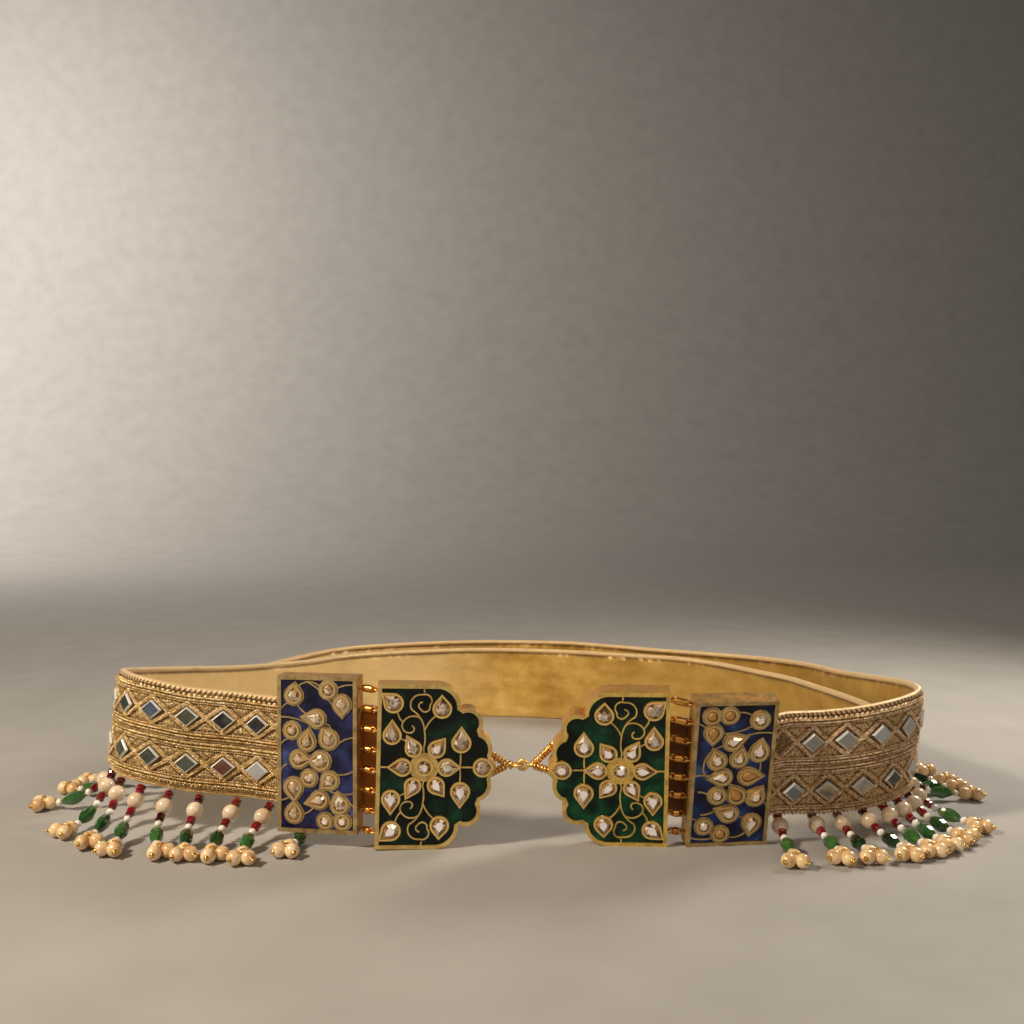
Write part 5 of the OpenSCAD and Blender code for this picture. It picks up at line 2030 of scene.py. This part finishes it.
@dataclass
class PlateLooks:
    """Finishes of the CAD nodes that stay: plates, enamels, stones, links and wrap."""

    nodes: Mapping[str, bpy.types.Object]
    empty_settings: tuple[tuple[float, float], ...] = (
        (6.2, 53.4), (12.8, 53.6), (7.2, 46.8), (23.2, 29.0), (17.4, 21.8), (12.6, 5.2))

    def lost_stones(self) -> tuple[tuple[float, float, float], ...]:
        """Middles of the right blue plate's settings that have lost their stone."""
        return tuple(tuple(float(c) for c in RIGHT_BLUE.placed((x, 0.0, z)))
                     for x, z in self.empty_settings)

    def dress(self, node: str, finish: Finish) -> None:
        """Gives a CAD node its finish."""
        piece = self.nodes[node]
        if not piece.material_slots:
            piece.data.materials.append(finish.material())
        for slot in piece.material_slots:
            slot.material = finish.material()
        log.info("%s wears %s", node, finish.name)

    def apply(self) -> None:
        """Dresses every CAD node that stays in sight."""
        for node, pose, pale in (("left_green", LEFT_GREEN, (0.84, 0.63, 0.24)),
                                 ("right_green", RIGHT_GREEN, (0.94, 0.68, 0.17))):
            self.dress(f"{node}_plate", PlateGilding(
                f"{node}_gilding", pose=pose, pale=pale, deep=(0.60, 0.38, 0.12), polish=0.32,
                knurl=1.4))
            self.dress(f"{node}_stones", CutStone(
                f"{node}_cut", facing=tuple(pose.facing()),
                pale_to=0.022 if pose is LEFT_GREEN else 0.036))
        self.dress("left_green_enamel", Enamel("left_green_glaze"))
        self.dress("right_green_enamel", Enamel(
            "right_green_glaze", dark=(0.0, 0.005, 0.003), body=(0.0, 0.022, 0.008),
            bright=(0.0, 0.065, 0.024), streak=(0.0, 0.12, 0.045)))
        for node, pose, empty in (("left_blue", LEFT_BLUE, ()),
                                  ("right_blue", RIGHT_BLUE, self.lost_stones())):
            self.dress(f"{node}_plate", PlateGilding(
                f"{node}_gilding", pose=pose, pale=(0.58, 0.44, 0.21), deep=(0.34, 0.22, 0.08),
                wall_shade=(0.66, 0.34, 0.08), bezel_highlight=(0.70, 0.50, 0.22), polish=0.34))
            self.dress(f"{node}_stones", CutStone(
                f"{node}_cut", facing=tuple(pose.facing()), low_table_reflection=(0.78, 0.68, 0.60),
                high_table_reflection=(0.56, 0.43, 0.28), painted_shade=(0.20, 0.11, 0.04),
                foil=(0.62, 0.34, 0.10), painted_glint=(0.96, 0.88, 0.72), empty=empty,
                pale_to=0.012 if pose is LEFT_BLUE else 0.05))
            self.dress(f"{node}_enamel", Enamel(
                f"{node}_glaze", dark=(0.003, 0.003, 0.016), body=(0.010, 0.011, 0.050),
                bright=(0.028, 0.036, 0.15) if pose is LEFT_BLUE else (0.008, 0.045, 0.20),
                streak=(0.10, 0.15, 0.38), low=0.02, high=0.07))
        self.dress("left_links", LINK_GOLD)
        self.dress("right_links", LINK_GOLD)
        self.dress("clasp_wrap", WIRE)


def mirror_rows() -> list[MirrorRow]:
    """All rows of mirrors, with the tones that the photograph shows in the nearest ones."""
    sights = {
        ("left", 1): (Sight.NIGHT, Sight.NIGHT, Sight.MOSS, Sight.SKY, Sight.SLATE, Sight.MIST),
        ("left", 0): (Sight.MIST, Sight.BRICK, Sight.MOSS, Sight.SLATE, Sight.SLATE, Sight.MIST),
        ("right", 1): (Sight.STONE, Sight.STONE, Sight.MIST, Sight.STONE, Sight.SLATE, Sight.MIST),
        ("right", 0): (Sight.MIST, Sight.STONE, Sight.STONE, Sight.SLATE, Sight.STONE, Sight.MIST),
    }
    rows = []
    for layout in (LEFT_TRIMS, RIGHT_TRIMS):
        for level, word in enumerate(("lower", "upper")):
            middle = layout.feet[level] + layout.height / 2
            seen = sights[layout.side, level]
            rows.append(MirrorRow(f"{layout.side}_mirror_{word}", f"{layout.side}_mirrors_{word}",
                                  layout.route, layout.first[level], middle, seen, layout.count))
            next_one = layout.first[level] + layout.count * MIRROR_PITCH
            more = int((layout.end - 6 - next_one) / MIRROR_PITCH) + 1
            if more > 1:
                rows.append(MirrorRow(f"{layout.side}_mirror_{word}_rear", None, layout.route,
                                      next_one, middle, (Sight.MIST,), more))
    return rows


def corners(box: Any) -> list[list[float]]:
    """A box's two corners as plain lists of numbers."""
    return [[float(x) for x in corner] for corner in box]


def main() -> None:
    """Builds the belt's looks piece by piece."""
    logging.basicConfig(level=logging.INFO, format="%(message)s")
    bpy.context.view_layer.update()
    Studio().build()
    for band in (Band("left_band_cloth", "left_band", LEFT, LEFT_TRIMS.start, 11),
                 Band("right_band_cloth", "right_band", RIGHT, RIGHT_TRIMS.start, 23, 3.2)):
        log.info("made %s", band.declare().name)
    grains = grain_rows()
    for layout, ground, stitch, seed in ((LEFT_TRIMS, BRAID_LEFT, STITCH_LEFT, 40),
                                         (RIGHT_TRIMS, BRAID_RIGHT, STITCH_RIGHT, 50)):
        for level in (0, 1):
            log.info("made %s", TrimStrip(layout, level, ground, seed + level).declare().name)
        for piece in TrimRows(layout, stitch, seed + 5).build(grains):
            log.info("made %s", piece.name)
    for row in mirror_rows():
        log.info("made %s", row.declare().name)
    recipes = {smooth: strung_beads(smooth) for smooth in (True, False)}
    for fringe in (Fringe("left", LEFT, LEFT_STRANDS, 7),
                   Fringe("right", RIGHT, RIGHT_STRANDS, 8)):
        for piece in fringe.build(recipes):
            log.info("made %s", piece.name)
    log.info("made %s", Clasp().build(wound_wire()).name)
    PlateLooks(frame["nodes"]).apply()


if __name__ == "__main__":
    main()
